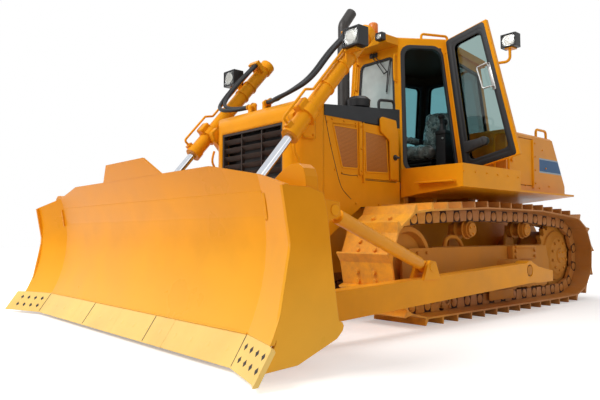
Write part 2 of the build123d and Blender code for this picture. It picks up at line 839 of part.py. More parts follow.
def lamp_box(x, y, z, facing):
    """Work lamp: its box, with a shallow lens recess on the side it faces."""
    depth, half, tall = 140, 95, 165
    shell = block(x, x + facing * depth, y - half, y + half, z, z + tall)
    back = [e for e in shell.edges() if abs(e.center().X - x) < 1]
    recess = block(x + facing * (depth - 14), x + facing * (depth + 1), y - half + 14,
                   y + half - 14, z + 14, z + tall - 14)
    return chamfer(back, 22) - recess


def cab_lamps():
    """Small lamps on the roof's visor, and the work lamp off the roof's rear left corner."""
    front = visor_front + seat_gap
    low = cab_top + 20
    lamps = []
    for side in (1, -1):
        y = side * 247
        body = block(front, front + 62, y - 45, y + 45, low, low + 76)
        lamps.append(body - block(front + 54, front + 63, y - 37, y + 37, low + 8, low + 68))
    x, y, z = rear_lamp_seat
    return Compound(children=lamps + [lamp_box(x, y, z + seat_gap, 1)])


# Foot of the work lamp at the cab's rear left, on its arm
rear_lamp_seat = (axle_x + 290, 745, 2985)


def lamp_arm():
    """Bent arm from the roof's rear left corner out to the work lamp."""
    x, y, z = rear_lamp_seat
    seat_x, seat_z = x + 100, cab_top + seat_gap + 30
    inner = cab_outline(cab_top, -roof_lip)[2][1] - 60
    bar = tube_path([(seat_x + 110, inner, seat_z), (seat_x, y, seat_z), (seat_x, y, z - 10)], 17, 60)
    plate = block(x + 20, x + 130, y - 50, y + 50, z - 12, z)
    return bar + plate - roof() - cab_solid(-1, cab_top - 300, cab_top + 1)


def beacon():
    low = cab_top + seat_gap + roof_thick
    x = axle_x + 1990
    post = rod_z(x, 0, low, low + 110, 22)
    return post + rod_z(x, 0, low + 108, low + 196, 50)


def blade_profile():
    """Front curve of the blade from the cutting edge's top to its own top, then the back."""
    low = (edge_line_x, edge_line_z)
    high = (edge_top_x - 12, blade_top)
    middle = ((low[0] + high[0]) / 2 - blade_hollow, (low[1] + high[1]) / 2)
    front = ThreePointArc((low[0], 0, low[1]), (middle[0], 0, middle[1]), (high[0], 0, high[1]))
    back = ThreePointArc((high[0] - blade_plate, 0, high[1]), (middle[0] - blade_plate, 0, middle[1]),
                         (low[0] - blade_plate, 0, low[1]))
    return make_face([front, Line(front @ 1, back @ 0), back, Line(back @ 1, front @ 0)]).face()


def blade():
    face = blade_profile()
    sheet = Solid.extrude(Pos(0, -blade_straight, 0) * face, Vector(0, 2 * blade_straight, 0))
    wing = Solid.extrude(Pos(0, blade_straight, 0) * face,
                         Vector(wing_forward, blade_half - blade_straight, 0))
    pieces = [sheet, wing, mirrored(wing)]
    for ear in brace_bracket():
        pieces += [ear, mirrored(ear)]
    for end in pin_ends():
        pieces += [end, mirrored(end)]
    x = beam_back_x
    front = edge_top_x - 60
    plate = [(front + wing_forward + 40, edge_top_z - 20), (front + wing_forward - 60, 700),
             (front + wing_forward, 1015), (x + 168, 1014), (x + 63, 986), (x + 32, 870),
             (x - 7, 566), (x - 53, 277), (x - 80, 268), (x - 91, 248), (x - 82, 220),
             (x - 37, 181), (x + 251, 77),
             (front + wing_forward + 120, 66)]
    beam = [(edge_top_x - 20, edge_top_z), (edge_top_x - 110, 420), (x, 420), (x - 60, 300),
            (x - 60, 170), (x + 60, 120), (edge_top_x + 40, 120), (edge_top_x + 6, edge_top_z - 30)]
    upper = [(x + 130, 1010), (x + 60, 960), (x + 60, 850), (edge_top_x - 120, 800),
             (edge_top_x - 75, 1010)]
    pieces.append(side_prism(beam, -blade_straight, blade_straight))
    pieces.append(side_prism(upper, -blade_straight, blade_straight))
    for side in (1, -1):
        pieces.append(side_prism(plate, side * (blade_half - end_plate), side * blade_half))
        pieces.append(side_prism(plate[3:-1] + [(front, edge_top_z), (front - 60, 700),
                                                (front - 40, 1000)],
                                 side * (blade_straight - 10), side * (blade_straight + 20)))
        for y in (lift_y - ear_half, lift_y + ear_half - ear_plate):
            ear = [(rod_pin_x - 60, rod_pin_z - 10), (rod_pin_x - 30, rod_pin_z + 62),
                   (rod_pin_x + 30, rod_pin_z + 66), (x + 150, 900), (x + 150, 420),
                   (x, 400), (rod_pin_x - 60, rod_pin_z - 60)]
            pieces.append(side_prism(ear, side * y, side * (y + ear_plate)))
    total = fuse(pieces)
    total -= side_prism(edge_section(0.4), -blade_straight - 0.1, blade_straight + 0.1)
    total = total - end_bit(0.4) - mirrored(end_bit(0.4))
    top = [(blade_top_half, blade_top), (blade_straight, blade_shoulder), (blade_half + 5, 1020),
           (blade_half + 5, blade_top + 60), (blade_top_half, blade_top + 60)]
    for side in (1, -1):
        total -= front_prism([(side * y, z) for y, z in top], x, edge_x + 300)
        total += corner_horn(side)
    lean = 0.45
    base_x = edge_top_x - 12
    guard = [(-spill_guard_half, 0), (spill_guard_half, 0), (320, spill_guard_rise),
             (-320, spill_guard_rise)]
    wires = []
    for dx in (0, -16):
        wires.append(Wire(Polyline(*[(base_x + dx + lean * z, y, blade_top - 2 + z)
                                     for y, z in guard], close=True).edges()))
    return total + Solid.make_loft(wires, ruled=True)


def corner_horn(side):
    """Round-topped box behind the blade's upper corner, between its two end plates."""
    inner, outer = blade_straight - 5, blade_half - end_plate + 5
    share = (outer - inner) / 347
    outline = [(0, 930), (0, 1030), (90, 1082), (160, 1126), (225, 1148), (285, 1148), (322, 1122),
               (340, 1075), (347, 1000), (347, 930)]
    x1 = beam_back_x + 175
    horn = front_prism([(side * (inner + share * y), z) for y, z in outline], x1 - 90, x1)
    return horn


def edge_section(grow=0):
    """Cutting edge: a flat plate from the blade's lower corner down to its sharp edge."""
    slope = atan2(edge_line_z - edge_height, edge_x - edge_line_x)
    thick = edge_plate + grow
    back_x, back_z = thick * sin(slope), thick * cos(slope)
    return [(edge_line_x + grow, edge_line_z), (edge_x + grow, edge_height),
            (edge_x + grow, edge_height - grow), (edge_x - 1.4 * back_x, edge_height - grow),
            (edge_line_x - back_x, edge_line_z - back_z + grow), (edge_line_x, edge_line_z + grow)]


def cutting_edge():
    """The straight edge between the end bits: four bolted plates."""
    section = edge_section()
    outline = [section[0], section[1], section[3], section[4]]
    plates = []
    for k in range(4):
        start = -blade_straight + k * blade_straight / 2
        plates.append(side_prism(outline, start + 1 if k else start,
                                 start + blade_straight / 2 - (1 if k < 3 else 0)))
    return plates


def end_bit(grow=0):
    """The left end bit: the edge section run out along the blade's wing, then flared past it."""
    points = edge_section(grow)
    if not grow:
        points = points[:2] + points[3:5]
    wires = []
    gap = 0 if grow else seat_gap
    stations = [(blade_straight + gap, 0), (blade_half + 5 * grow, wing_forward)]
    if not grow:
        stations.append((blade_half + bit_out, wing_forward + bit_forward))
    for y, forward in stations:
        wires.append(Wire(Polyline(*[(x + forward, y, z) for x, z in points],
                                   close=True).edges()))
    return Solid.make_loft(wires, ruled=True)


# Push arm outline from the trunnion forward: ahead of the axle, low and high edges
arm_stations = [(880, 285, 390), (1180, 280, 440), (1300, 288, 486), (4480, 146, 352)]


def push_arm():
    low = [(axle_x + ahead, z) for ahead, z, _ in arm_stations]
    high = [(axle_x + ahead, z) for ahead, _, z in reversed(arm_stations)]
    arm = side_prism(low + high, arm_inner, arm_outer)
    arm += rod_y(lift_x, lift_z, arm_inner, arm_outer, 96)
    front_x = arm_stations[-1][0] + axle_x
    arm += block(front_x - 4, beam_back_x - 60 - seat_gap, arm_inner, arm_outer, 190, 290)
    bore = rod_y(lift_x, lift_z, arm_inner - 1, arm_outer + 1, trunnion_radius + run_gap)
    x, y, z = brace_rear
    for side in (-1, 1):
        y0 = y + side * ear_half
        ear = [(x - 110, 400), (x - 50, z + 40), (x + 20, z + 52), (x + 60, z + 10), (x + 110, 400)]
        arm += side_prism(ear, y0, y0 - side * ear_plate) \
            - rod_y(x, z, y0 + side, y0 - side * (ear_plate + 1), pin_radius)
    return arm - bore


def brace(tilt_cylinder):
    """Strut from the push arm up to the blade; on the right it is the tilt cylinder."""
    eye_half = ear_half - ear_plate - 12
    parts = []
    for x, y, z in (brace_rear, brace_front):
        parts.append(rod_y(x, z, y - eye_half, y + eye_half, 50))
        parts.append(rod_y(x, z, y - ear_half - 4, y + ear_half + 4, pin_radius - 0.3))
    a, b = Vector(*brace_rear), Vector(*brace_front)
    along = (b - a).normalized()
    parts.append(rod_between(tuple(a), tuple(b), 26))
    start, end = a + along * 120, b - along * 120
    if tilt_cylinder:
        middle = a + along * ((b - a).length * 0.58)
        parts.append(rod_between(tuple(start), tuple(middle), brace_radius + 14))
        parts.append(rod_between(tuple(middle), tuple(end), 32))
    else:
        parts.append(rod_between(tuple(start), tuple(end), brace_radius))
    return fuse(parts)


def brace_bracket():
    """Ears on the blade's back for the brace's front end."""
    x, y, z = brace_front
    ears = []
    for side in (-1, 1):
        y0 = y + side * ear_half
        ear = [(x - 55, z - 30), (x - 40, z + 50), (x + 40, z + 60), (beam_back_x + 226, z + 90),
               (beam_back_x + 200, z - 60), (beam_back_x + 60, z - 190), (x + 30, z - 60)]
        ears.append(side_prism(ear, y0, y0 - side * ear_plate)
                    - rod_y(x, z, y0 + side, y0 - side * (ear_plate + 1), pin_radius))
    return ears


def lift_plane():
    """Plane along the lift cylinder, from its yoke down to the blade."""
    start = Vector(yoke_x, lift_y, yoke_z)
    end = Vector(rod_pin_x, lift_y, rod_pin_z)
    return Plane(origin=start, x_dir=(0, 1, 0), z_dir=(end - start).normalized())


def lift_length():
    return hypot(rod_pin_x - yoke_x, rod_pin_z - yoke_z)


def along_lift(z0, z1, radius):
    return lift_plane() * Pos(0, 0, (z0 + z1) / 2) * Cylinder(radius, z1 - z0)


def lift_block(across0, across1, rise0, rise1, along0, along1):
    """Block on the lift cylinder: across it, above its axis and along it from the yoke."""
    middle = Pos((across0 + across1) / 2, (rise0 + rise1) / 2, (along0 + along1) / 2)
    return lift_plane() * middle * Box(across1 - across0, rise1 - rise0, along1 - along0)


def lift_point(across, rise, along):
    plane = lift_plane()
    point = plane.origin + plane.x_dir * across + plane.y_dir * rise + plane.z_dir * along
    return (point.X, point.Y, point.Z)


def lift_barrel():
    cap = barrel_radius + 12
    pieces = [along_lift(-barrel_rear, barrel_front, barrel_radius),
              along_lift(-44, 44, collar_radius),
              along_lift(barrel_front - 70, barrel_front, barrel_radius + 8),
              along_lift(-barrel_rear - 40, -barrel_rear + 50, cap)]
    for along in (-760, -610, -330):
        pieces.append(along_lift(along - 9, along + 9, barrel_radius + 10))
    pieces.append(fillet(lift_block(-48, 48, 40, 122, -62, 58).edges(), 16))
    pieces.append(lift_block(-108, 42, 30, 158, port_along - 46, port_along))
    pieces.append(lift_block(-4, 44, 40, 96, 205, 262))
    pipe = [(20, 90, 235), (20, 152, 235), (20, 152, -120), (20, 96, -190), (20, 96, port_along - 20)]
    pieces.append(tube_path([lift_point(*point) for point in pipe], 11, 26))
    x, z = lamp_seat()
    pieces.append(block(x - 30, x + 30, lift_y + 52, lift_y + 68, z - 120, z))
    pieces.append(block(x - 45, x + 45, lift_y + 52, lift_y + 190, z - 14, z))
    body = fuse(pieces)
    body -= along_lift(-barrel_rear + 65, barrel_front - 60, barrel_bore)
    body -= along_lift(barrel_front - 61, barrel_front + 1, rod_radius + run_gap)
    return body - rod_y(yoke_x, yoke_z, yoke_face, lift_y - barrel_radius + 2,
                        pin_radius + run_gap)


def yoke():
    """Bracket on the nose's side, with the pin that the lift cylinder turns on."""
    outline = [(yoke_x - 190, yoke_z + 60), (yoke_x + 10, yoke_z + 60), (yoke_x + 70, yoke_z),
               (yoke_x + 40, yoke_z - 70), (yoke_x - 60, yoke_z - 180), (yoke_x - 190, yoke_z - 180)]
    plate = side_prism(outline, body_half - nose_wall + 5, yoke_face)
    return plate + rod_y(yoke_x, yoke_z, yoke_face - 1, lift_y - barrel_radius, pin_radius)


def lift_rod():
    eye_half = ear_half - ear_plate - 12
    reach = lift_length()
    eye = rod_y(rod_pin_x, rod_pin_z, lift_y - eye_half, lift_y + eye_half, 58)
    rod = along_lift(-180, reach - 20, rod_radius)
    rod += along_lift(-180, -110, barrel_bore - run_gap)
    pin_half = ear_half - ear_plate - 1
    return rod + eye + rod_y(rod_pin_x, rod_pin_z, lift_y - pin_half, lift_y + pin_half, pin_radius)


def pin_ends():
    """The pin's ends, held in the blade's two ears beside the rod's eye."""
    ends = []
    for side in (-1, 1):
        ends.append(rod_y(rod_pin_x, rod_pin_z, lift_y + side * (ear_half - ear_plate),
                          lift_y + side * (ear_half + 8), pin_radius + 8))
    return ends


def lamp_seat():
    """Top of the lamp's shelf on the outer side of the lift cylinder: x, z."""
    x, _, z = lift_point(0, 0, -650)
    return x, z + 107


def barrel_lamp():
    """Work lamp beside the lift cylinder."""
    x, z = lamp_seat()
    return lamp_box(x - 60, lift_y + 165, z + seat_gap, 1)


# Place along the lift cylinder of its hose ports, and each hose's place across it
port_along = -951
port_rise = 133
hose_names = ("inner", "outer")
hose_across = (-80, -35)
# Each hose from its port along the cylinder, as along it and above its axis, then over the
# nose to its elbow: ahead of the axle, width as a share of the body's half width, and height
hose_runs = (((-880, 133), (-650, 152), (-330, 138)), ((-880, 133), (-640, 150), (-285, 138)))
hose_turns = (((3605, 0.82, 1990), (3602, 0.5, 1958), (3552, 0.4, 1968)),
              ((3650, 0.86, 1965), (3650, 0.5, 1938), (3602, 0.4, 1945)))
elbow_face = 150


def hose(index):
    """One hose from its port on the lift cylinder to its elbow on the nose."""
    across = hose_across[index]
    points = [lift_point(across, port_rise, port_along + seat_gap)]
    points += [lift_point(across, rise, along) for along, rise in hose_runs[index]]
    points += [(axle_x + ahead, share * body_half, z) for ahead, share, z in hose_turns[index]]
    ahead, _, z = hose_turns[index][-1]
    points.append((axle_x + ahead, elbow_face + seat_gap, z))
    places = [Vector(*point) for point in points]
    bends = []
    for n in range(1, len(places) - 1):
        into, out = places[n] - places[n - 1], places[n + 1] - places[n]
        turn = radians(into.get_angle(out))
        longest = 0.45 * min(into.length, out.length) * cos(turn / 2) / max(sin(turn / 2), 0.01)
        bends.append(min(longest, 900))
    return tube_path(points, hose_radius, bends)


def elbows():
    """Elbows that stand on the nose, where the hoses start."""
    pieces = []
    for turns in hose_turns:
        ahead, _, z = turns[-1]
        x = axle_x + ahead
        y = elbow_face - 42
        pieces.append(rod_z(x, y, nose_top - 36, z, hose_radius + 3))
        pieces.append(Pos(x, y, z) * Sphere(hose_radius + 5))
        pieces.append(rod_y(x, z, y, elbow_face, hose_radius + 3))
        pieces.append(rod_y(x, z, y + 16, y + 30, hose_radius + 9))
    return fuse(pieces)


def pair(shape):
    """The left piece and its mirror image, as one node."""
    left = shape.solids()
    right = mirrored(shape).solids()
    return Compound(children=list(left) + list(right))


def build():
    add_pair("track", track())
    add_pair("track_frame", track_frame())
    add_pair("rollers", Compound(children=[idler()] + lower_rollers().solids()
                                 + carrier_rollers().solids()))
    add_pair("final_drive", sprocket())
    add("main_frame", main_frame())
    add("engine", engine())
    add("radiator", radiator())
    add("nose", nose())
    add("grille", grille())
    add("hood_top", hood_top())
    add("side_panels", pair(side_panel()))
    add_pair("engine_door", engine_door())
    add("platform", pair(deck()))
    add("cab_shell", cab_shell())
    add("cab_glass", cab_glass())
    add("cab_roof", roof())
    frame, pane = cab_door()
    add("cab_door_left", door_swing(frame, door_open_angle))
    add("cab_door_glass_left", door_swing(pane, door_open_angle))
    add("cab_door_right", mirrored(frame))
    add("cab_door_glass_right", mirrored(pane))
    add("seat", seat())
    add("consoles", consoles())
    add("rear_tank", tank())
    add("tank_door", tank_door())
    add("drawbar", drawbar())
    add("exhaust_stack", stack())
    add("pre_cleaner", pre_cleaner())
    add("hood_rails", hood_rails())
    add("handrails", handrails())
    add("cab_lamps", Compound(children=cab_lamps().solids() + [beacon()]))
    add("blade", blade())
    add("cutting_edge", Compound(children=cutting_edge() + pair(end_bit()).solids()))
    add_pair("push_arm", push_arm())
    add("brace_left", brace(False))
    add("brace_right", mirrored(brace(True)))
    add_pair("lift_barrel", lift_barrel())
    add_pair("lift_rod", lift_rod())
    add_pair("barrel_lamp", barrel_lamp())
    for index, name in enumerate(hose_names):
        add_pair("hose_" + name, hose(index))


build()
os.makedirs("parts", exist_ok=True)
for name, shape in nodes.items():
    export_step(shape, f"parts/{name}.step")
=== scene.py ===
from math import atan2, cos, hypot, pi, radians, sin, sqrt

import bpy
from bpy.props import FloatProperty, FloatVectorProperty, PointerProperty
from mathutils import Matrix, Vector


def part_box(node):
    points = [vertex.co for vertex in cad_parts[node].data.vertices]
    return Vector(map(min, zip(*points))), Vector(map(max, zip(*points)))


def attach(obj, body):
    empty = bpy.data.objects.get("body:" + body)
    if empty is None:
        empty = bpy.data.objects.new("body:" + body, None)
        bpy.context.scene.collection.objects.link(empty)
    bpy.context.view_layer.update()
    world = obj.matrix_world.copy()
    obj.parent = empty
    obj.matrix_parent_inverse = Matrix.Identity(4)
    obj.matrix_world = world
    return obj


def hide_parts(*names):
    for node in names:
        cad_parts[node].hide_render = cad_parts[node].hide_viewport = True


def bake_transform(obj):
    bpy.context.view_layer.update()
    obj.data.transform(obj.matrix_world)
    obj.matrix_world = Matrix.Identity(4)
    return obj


bl_info = {
    "name": "Crawler dozer finish",
    "version": (1, 0, 0),
    "blender": (4, 5, 0),
    "location": "View3D > Sidebar > Dozer",
    "description": "Finishes, trim, hoses and soft parts for the crawler dozer frame",
    "category": "Object",
}

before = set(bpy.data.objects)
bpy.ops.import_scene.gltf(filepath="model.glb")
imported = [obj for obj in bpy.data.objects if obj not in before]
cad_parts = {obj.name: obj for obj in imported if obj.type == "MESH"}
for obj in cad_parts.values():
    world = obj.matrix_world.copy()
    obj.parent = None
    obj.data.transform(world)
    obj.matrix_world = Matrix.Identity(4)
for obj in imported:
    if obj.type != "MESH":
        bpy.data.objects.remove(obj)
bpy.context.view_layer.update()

# The sprocket axle is the point that places along the machine are counted from
SPROCKET_BEHIND = 0.640
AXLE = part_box("drawbar")[0][0] + SPROCKET_BEHIND


def at(ahead, y, z):
    """Point from millimetres ahead of the sprocket axle, to the left and above the ground."""
    return Vector((AXLE + ahead / 1000, y / 1000, z / 1000))


def colour_prop(name, text, default):
    return FloatVectorProperty(name=name, description=text, subtype="COLOR", size=3,
                               default=default, min=0.0, max=1.0)


class DozerPaint(bpy.types.PropertyGroup):
    body: colour_prop("Body yellow", "Paint of the bodywork and blade", (0.88, 0.345, 0.009))
    under: colour_prop("Undercarriage", "Paint under dry soil, on frames and rollers",
                       (0.66, 0.255, 0.028))
    tracks: colour_prop("Tracks", "Painted shoes and chains under soil", (0.56, 0.205, 0.026))
    black: colour_prop("Black", "Black paint and mouldings", (0.010, 0.010, 0.011))
    slate: colour_prop("Hood black", "Satin blue-black of the hood's top", (0.010, 0.012, 0.015))
    soil: colour_prop("Soil", "Dry soil and dust", (0.36, 0.235, 0.13))
    stripe: colour_prop("Stripe blue", "Stripe along the tank's rear", (0.020, 0.11, 0.26))
    mesh: colour_prop("Air mesh", "Perforated sheet in the engine side", (0.52, 0.175, 0.014))
    rough: FloatProperty(name="Paint roughness", description="Roughness of the body paint",
                         default=0.36, min=0.05, max=1.0, subtype="FACTOR")


class DozerView(bpy.types.PropertyGroup):
    lens: FloatProperty(name="Lens", description="Focal length on a 36 mm sensor",
                        default=35.493, min=10, max=200, unit="CAMERA")
    yaw: FloatProperty(name="Yaw", description="Turn of the view about Z, from behind +X",
                       default=0.8479, subtype="ANGLE")
    pitch: FloatProperty(name="Pitch", description="How far the camera looks up",
                         default=0.0606, subtype="ANGLE")
    key: FloatProperty(name="Key light", description="Power of the key lamp in watts",
                       default=690.0, min=0.0)
    sky: FloatProperty(name="Sky", description="Strength of the world's light",
                       default=0.34, min=0.0, max=3.0)


# Materials


def new_material(name):
    material = bpy.data.materials.new(name)
    material.use_nodes = True
    shader = material.node_tree.nodes["Principled BSDF"]
    return material, material.node_tree, shader


def add_node(tree, kind, **values):
    node = tree.nodes.new(kind)
    for key, value in values.items():
        if key in node.inputs:
            node.inputs[key].default_value = value
        else:
            setattr(node, key, value)
    return node


def object_point(tree):
    return add_node(tree, "ShaderNodeTexCoord").outputs["Object"]


def noise(tree, point, scale, detail=3.0, rough=0.55):
    node = add_node(tree, "ShaderNodeTexNoise")
    node.inputs["Scale"].default_value = scale
    node.inputs["Detail"].default_value = detail
    node.inputs["Roughness"].default_value = rough
    tree.links.new(point, node.inputs["Vector"])
    return node.outputs["Fac"]


def ramp(tree, value, low, high, out_low=0.0, out_high=1.0):
    node = add_node(tree, "ShaderNodeMapRange")
    node.inputs["From Min"].default_value = low
    node.inputs["From Max"].default_value = high
    node.inputs["To Min"].default_value = out_low
    node.inputs["To Max"].default_value = out_high
    tree.links.new(value, node.inputs["Value"])
    return node.outputs["Result"]


def math(tree, operation, first, second=None):
    node = add_node(tree, "ShaderNodeMath", operation=operation)
    for slot, value in ((0, first), (1, second)):
        if value is None:
            continue
        if isinstance(value, (int, float)):
            node.inputs[slot].default_value = value
        else:
            tree.links.new(value, node.inputs[slot])
    return node.outputs["Value"]


def blend_colour(tree, share, first, second):
    node = add_node(tree, "ShaderNodeMix", data_type="RGBA")
    if isinstance(share, (int, float)):
        node.inputs[0].default_value = share
    else:
        tree.links.new(share, node.inputs[0])
    for slot, value in ((6, first), (7, second)):
        if hasattr(value, "node"):
            tree.links.new(value, node.inputs[slot])
        else:
            node.inputs[slot].default_value = (*value, 1.0)
    return node.outputs[2]


def bump(tree, height, strength, distance, normal=None):
    node = add_node(tree, "ShaderNodeBump")
    node.inputs["Strength"].default_value = strength
    node.inputs["Distance"].default_value = distance
    tree.links.new(height, node.inputs["Height"])
    if normal is not None:
        tree.links.new(normal, node.inputs["Normal"])
    return node.outputs["Normal"]


def soft_edges(tree, radius):
    """Normal with edges rounded off, and a mask of where the edges are."""
    bevel = add_node(tree, "ShaderNodeBevel", samples=6)
    bevel.inputs["Radius"].default_value = radius
    flat = add_node(tree, "ShaderNodeNewGeometry").outputs["Normal"]
    dot = add_node(tree, "ShaderNodeVectorMath", operation="DOT_PRODUCT")
    tree.links.new(bevel.outputs["Normal"], dot.inputs[0])
    tree.links.new(flat, dot.inputs[1])
    return bevel.outputs["Normal"], ramp(tree, dot.outputs["Value"], 0.985, 0.90)


def facing_up(tree):
    normal = add_node(tree, "ShaderNodeNewGeometry").outputs["Normal"]
    split = add_node(tree, "ShaderNodeSeparateXYZ")
    tree.links.new(normal, split.inputs[0])
    return split.outputs["Z"]


def split_point(tree, point):
    split = add_node(tree, "ShaderNodeSeparateXYZ")
    tree.links.new(point, split.inputs[0])
    return split.outputs["X"], split.outputs["Y"], split.outputs["Z"]


def paint(name, colour, soil, rough, dust=0.25, dirt=0.0, dirt_top=0.9, edge=0.25, peel=0.05,
          edge_radius=0.006):
    """Sprayed enamel: slight shade changes, orange peel, dust on top faces and worn edges."""
    material, tree, shader = new_material(name)
    point = object_point(tree)
    patch = noise(tree, point, 1.7, 4)
    tone = ramp(tree, patch, 0.3, 0.7, 0.0, 1.0)
    darker = tuple(0.86 * c for c in colour)
    lighter = tuple(min(1.0, 1.06 * c) for c in colour)
    base = blend_colour(tree, tone, darker, lighter)
    speckle = noise(tree, point, 23.0, 6, 0.7)
    up = ramp(tree, facing_up(tree), 0.35, 0.95)
    dusty = math(tree, "MULTIPLY", up, ramp(tree, speckle, 0.35, 0.75, 0.0, dust))
    if dirt:
        height = split_point(tree, point)[2]
        low = ramp(tree, height, dirt_top, 0.05, 0.0, 1.0)
        grime_and_shade = math(tree, "MULTIPLY", low, ramp(tree, noise(tree, point, 6.0, 8, 0.7),
                                                 0.32, 0.68, 0.25, 1.0))
        dusty = math(tree, "MAXIMUM", dusty, math(tree, "MULTIPLY", grime_and_shade, dirt))
    base = blend_colour(tree, dusty, base, soil)
    normal, edges = soft_edges(tree, edge_radius)
    worn = math(tree, "MULTIPLY", edges, ramp(tree, speckle, 0.45, 0.62, 0.0, edge))
    base = blend_colour(tree, worn, base, tuple(min(1.0, 1.35 * c + 0.03) for c in colour))
    tree.links.new(base, shader.inputs["Base Color"])
    shine = ramp(tree, patch, 0.3, 0.7, rough - 0.05, rough + 0.07)
    shine = math(tree, "ADD", shine, math(tree, "MULTIPLY", dusty, 0.35))
    tree.links.new(shine, shader.inputs["Roughness"])
    fine = noise(tree, point, 260.0, 2)
    waves = noise(tree, point, 3.2, 2)
    height = math(tree, "ADD", math(tree, "MULTIPLY", fine, 0.25), waves)
    tree.links.new(bump(tree, height, peel, 0.02, normal), shader.inputs["Normal"])
    shader.inputs["Specular IOR Level"].default_value = 0.20
    sheen = [min(1.0, 1.15 * c + 0.08) for c in colour]
    shader.inputs["Specular Tint"].default_value = (*sheen, 1.0)
    shader.inputs["Coat Weight"].default_value = 0.02
    shader.inputs["Coat Roughness"].default_value = 0.16
    return material


def painted_light_by_height(material, heights, colours):
    """Shift a paint's colour with height: painted reflection of the ground low down, painted shade
    near the top.
    """
    tree = material.node_tree
    shader = tree.nodes["Principled BSDF"]
    base = shader.inputs["Base Color"].links[0].from_socket
    point = object_point(tree)
    height = math(tree, "ADD", split_point(tree, point)[2],
                  math(tree, "MULTIPLY", noise(tree, point, 1.1, 3), 0.16))
    for (low, high, share), colour in zip(heights, colours):
        base = blend_colour(tree, ramp(tree, height, low, high, share, 0.0), base, colour)
    tree.links.new(base, shader.inputs["Base Color"])
    return material


def striped_paint(name, colours, soil, rough, faces):
    """Tank paint with a stripe along its rear end: blue between two pale lines."""
    material = paint(name, colours[0], soil, rough)
    tree = material.node_tree
    shader = tree.nodes["Principled BSDF"]
    base = shader.inputs["Base Color"].links[0].from_socket
    x, y, z = split_point(tree, object_point(tree))
    low, high, front, edge = faces
    across = math(tree, "GREATER_THAN", math(tree, "ABSOLUTE", y), 1.146)
    behind = math(tree, "LESS_THAN", x, front)
    for margin, colour in ((edge, colours[2]), (0.0, colours[1])):
        above = math(tree, "GREATER_THAN", z, low - margin)
        below = math(tree, "LESS_THAN", z, high + margin)
        band = math(tree, "MULTIPLY", math(tree, "MULTIPLY", above, below),
                    math(tree, "MULTIPLY", across, behind))
        base = blend_colour(tree, band, base, colour)
    tree.links.new(base, shader.inputs["Base Color"])
    return material


def soiled_steel(name, colour, soil, rough, amount, front_colour, front_x):
    """Track steel: dry soil caught in the corners, and brighter yellow towards the front."""
    material, tree, shader = new_material(name)
    point = object_point(tree)
    clumps = noise(tree, point, 5.5, 8, 0.72)
    grit = noise(tree, point, 48.0, 5, 0.75)
    normal, edges = soft_edges(tree, 0.004)
    mask = math(tree, "MULTIPLY", ramp(tree, clumps, 0.36, 0.66),
                ramp(tree, grit, 0.3, 0.62, 0.35, 1.0))
    base = blend_colour(tree, math(tree, "MULTIPLY", mask, amount), colour, soil)
    shade = ramp(tree, noise(tree, point, 2.1, 3), 0.3, 0.7, 0.0, 0.55)
    base = blend_colour(tree, shade, base, tuple(0.62 * c for c in colour))
    # Brighter yellow towards the front of the track
    along = split_point(tree, point)[0]
    front = math(tree, "MULTIPLY", ramp(tree, along, front_x - 0.5, front_x + 0.15),
                 ramp(tree, clumps, 0.70, 0.40, 0.25, 0.9))
    base = blend_colour(tree, front, base, front_colour)
    polished = math(tree, "MULTIPLY", edges, ramp(tree, grit, 0.4, 0.6, 0.0, 0.5))
    base = blend_colour(tree, polished, base, (0.55, 0.36, 0.16))
    tree.links.new(base, shader.inputs["Base Color"])
    tree.links.new(ramp(tree, clumps, 0.3, 0.7, rough - 0.12, rough + 0.15),
                   shader.inputs["Roughness"])
    height = math(tree, "ADD", clumps, math(tree, "MULTIPLY", grit, 0.35))
    tree.links.new(bump(tree, height, 0.35, 0.006, normal), shader.inputs["Normal"])
    return material


def plain_finish(name, colour, rough, metal=0.0, grain=180.0, depth=0.15, shift=0.12):
    """Moulded, cast or blackened finish with fine grain and slight shade changes."""
    material, tree, shader = new_material(name)
    point = object_point(tree)
    tone = ramp(tree, noise(tree, point, 4.0, 5), 0.3, 0.7)
    base = blend_colour(tree, tone, tuple((1 - shift) * c for c in colour),
                        tuple(min(1.0, (1 + shift) * c) for c in colour))
    tree.links.new(base, shader.inputs["Base Color"])
    tree.links.new(ramp(tree, noise(tree, point, 11.0, 4), 0.3, 0.7, rough - 0.05, rough + 0.06),
                   shader.inputs["Roughness"])
    normal, _ = soft_edges(tree, 0.003)
    tree.links.new(bump(tree, noise(tree, point, grain, 3), depth, 0.0015, normal),
                   shader.inputs["Normal"])
    shader.inputs["Metallic"].default_value = metal
    shader.inputs["Specular IOR Level"].default_value = 0.32
    return material


def clear_glass(name, tint, rear_tint=None, rear_x=0.0, hazy_x=None):
    """Clear sheet; glass behind rear_x has a deeper tint, and ahead of hazy_x a cloudy haze."""
    material, tree, shader = new_material(name)
    shader.inputs["Base Color"].default_value = (*tint, 1.0)
    if rear_tint:
        along = split_point(tree, object_point(tree))[0]
        tree.links.new(blend_colour(tree, ramp(tree, along, rear_x + 0.05, rear_x - 0.10), tint,
                                    rear_tint), shader.inputs["Base Color"])
    shader.inputs["Transmission Weight"].default_value = 1.0
    if hazy_x:
        cloud = ramp(tree, noise(tree, object_point(tree), 2.6, 3), 0.3, 0.7, 0.40, 0.68)
        hazy = math(tree, "GREATER_THAN", along, hazy_x)
        tree.links.new(math(tree, "SUBTRACT", 1.0, math(tree, "MULTIPLY", hazy, cloud)),
                       shader.inputs["Transmission Weight"])
    shader.inputs["IOR"].default_value = 1.48
    point = object_point(tree)
    tree.links.new(ramp(tree, noise(tree, point, 7.0, 4), 0.4, 0.8, 0.0, 0.05),
                   shader.inputs["Roughness"])
    return material


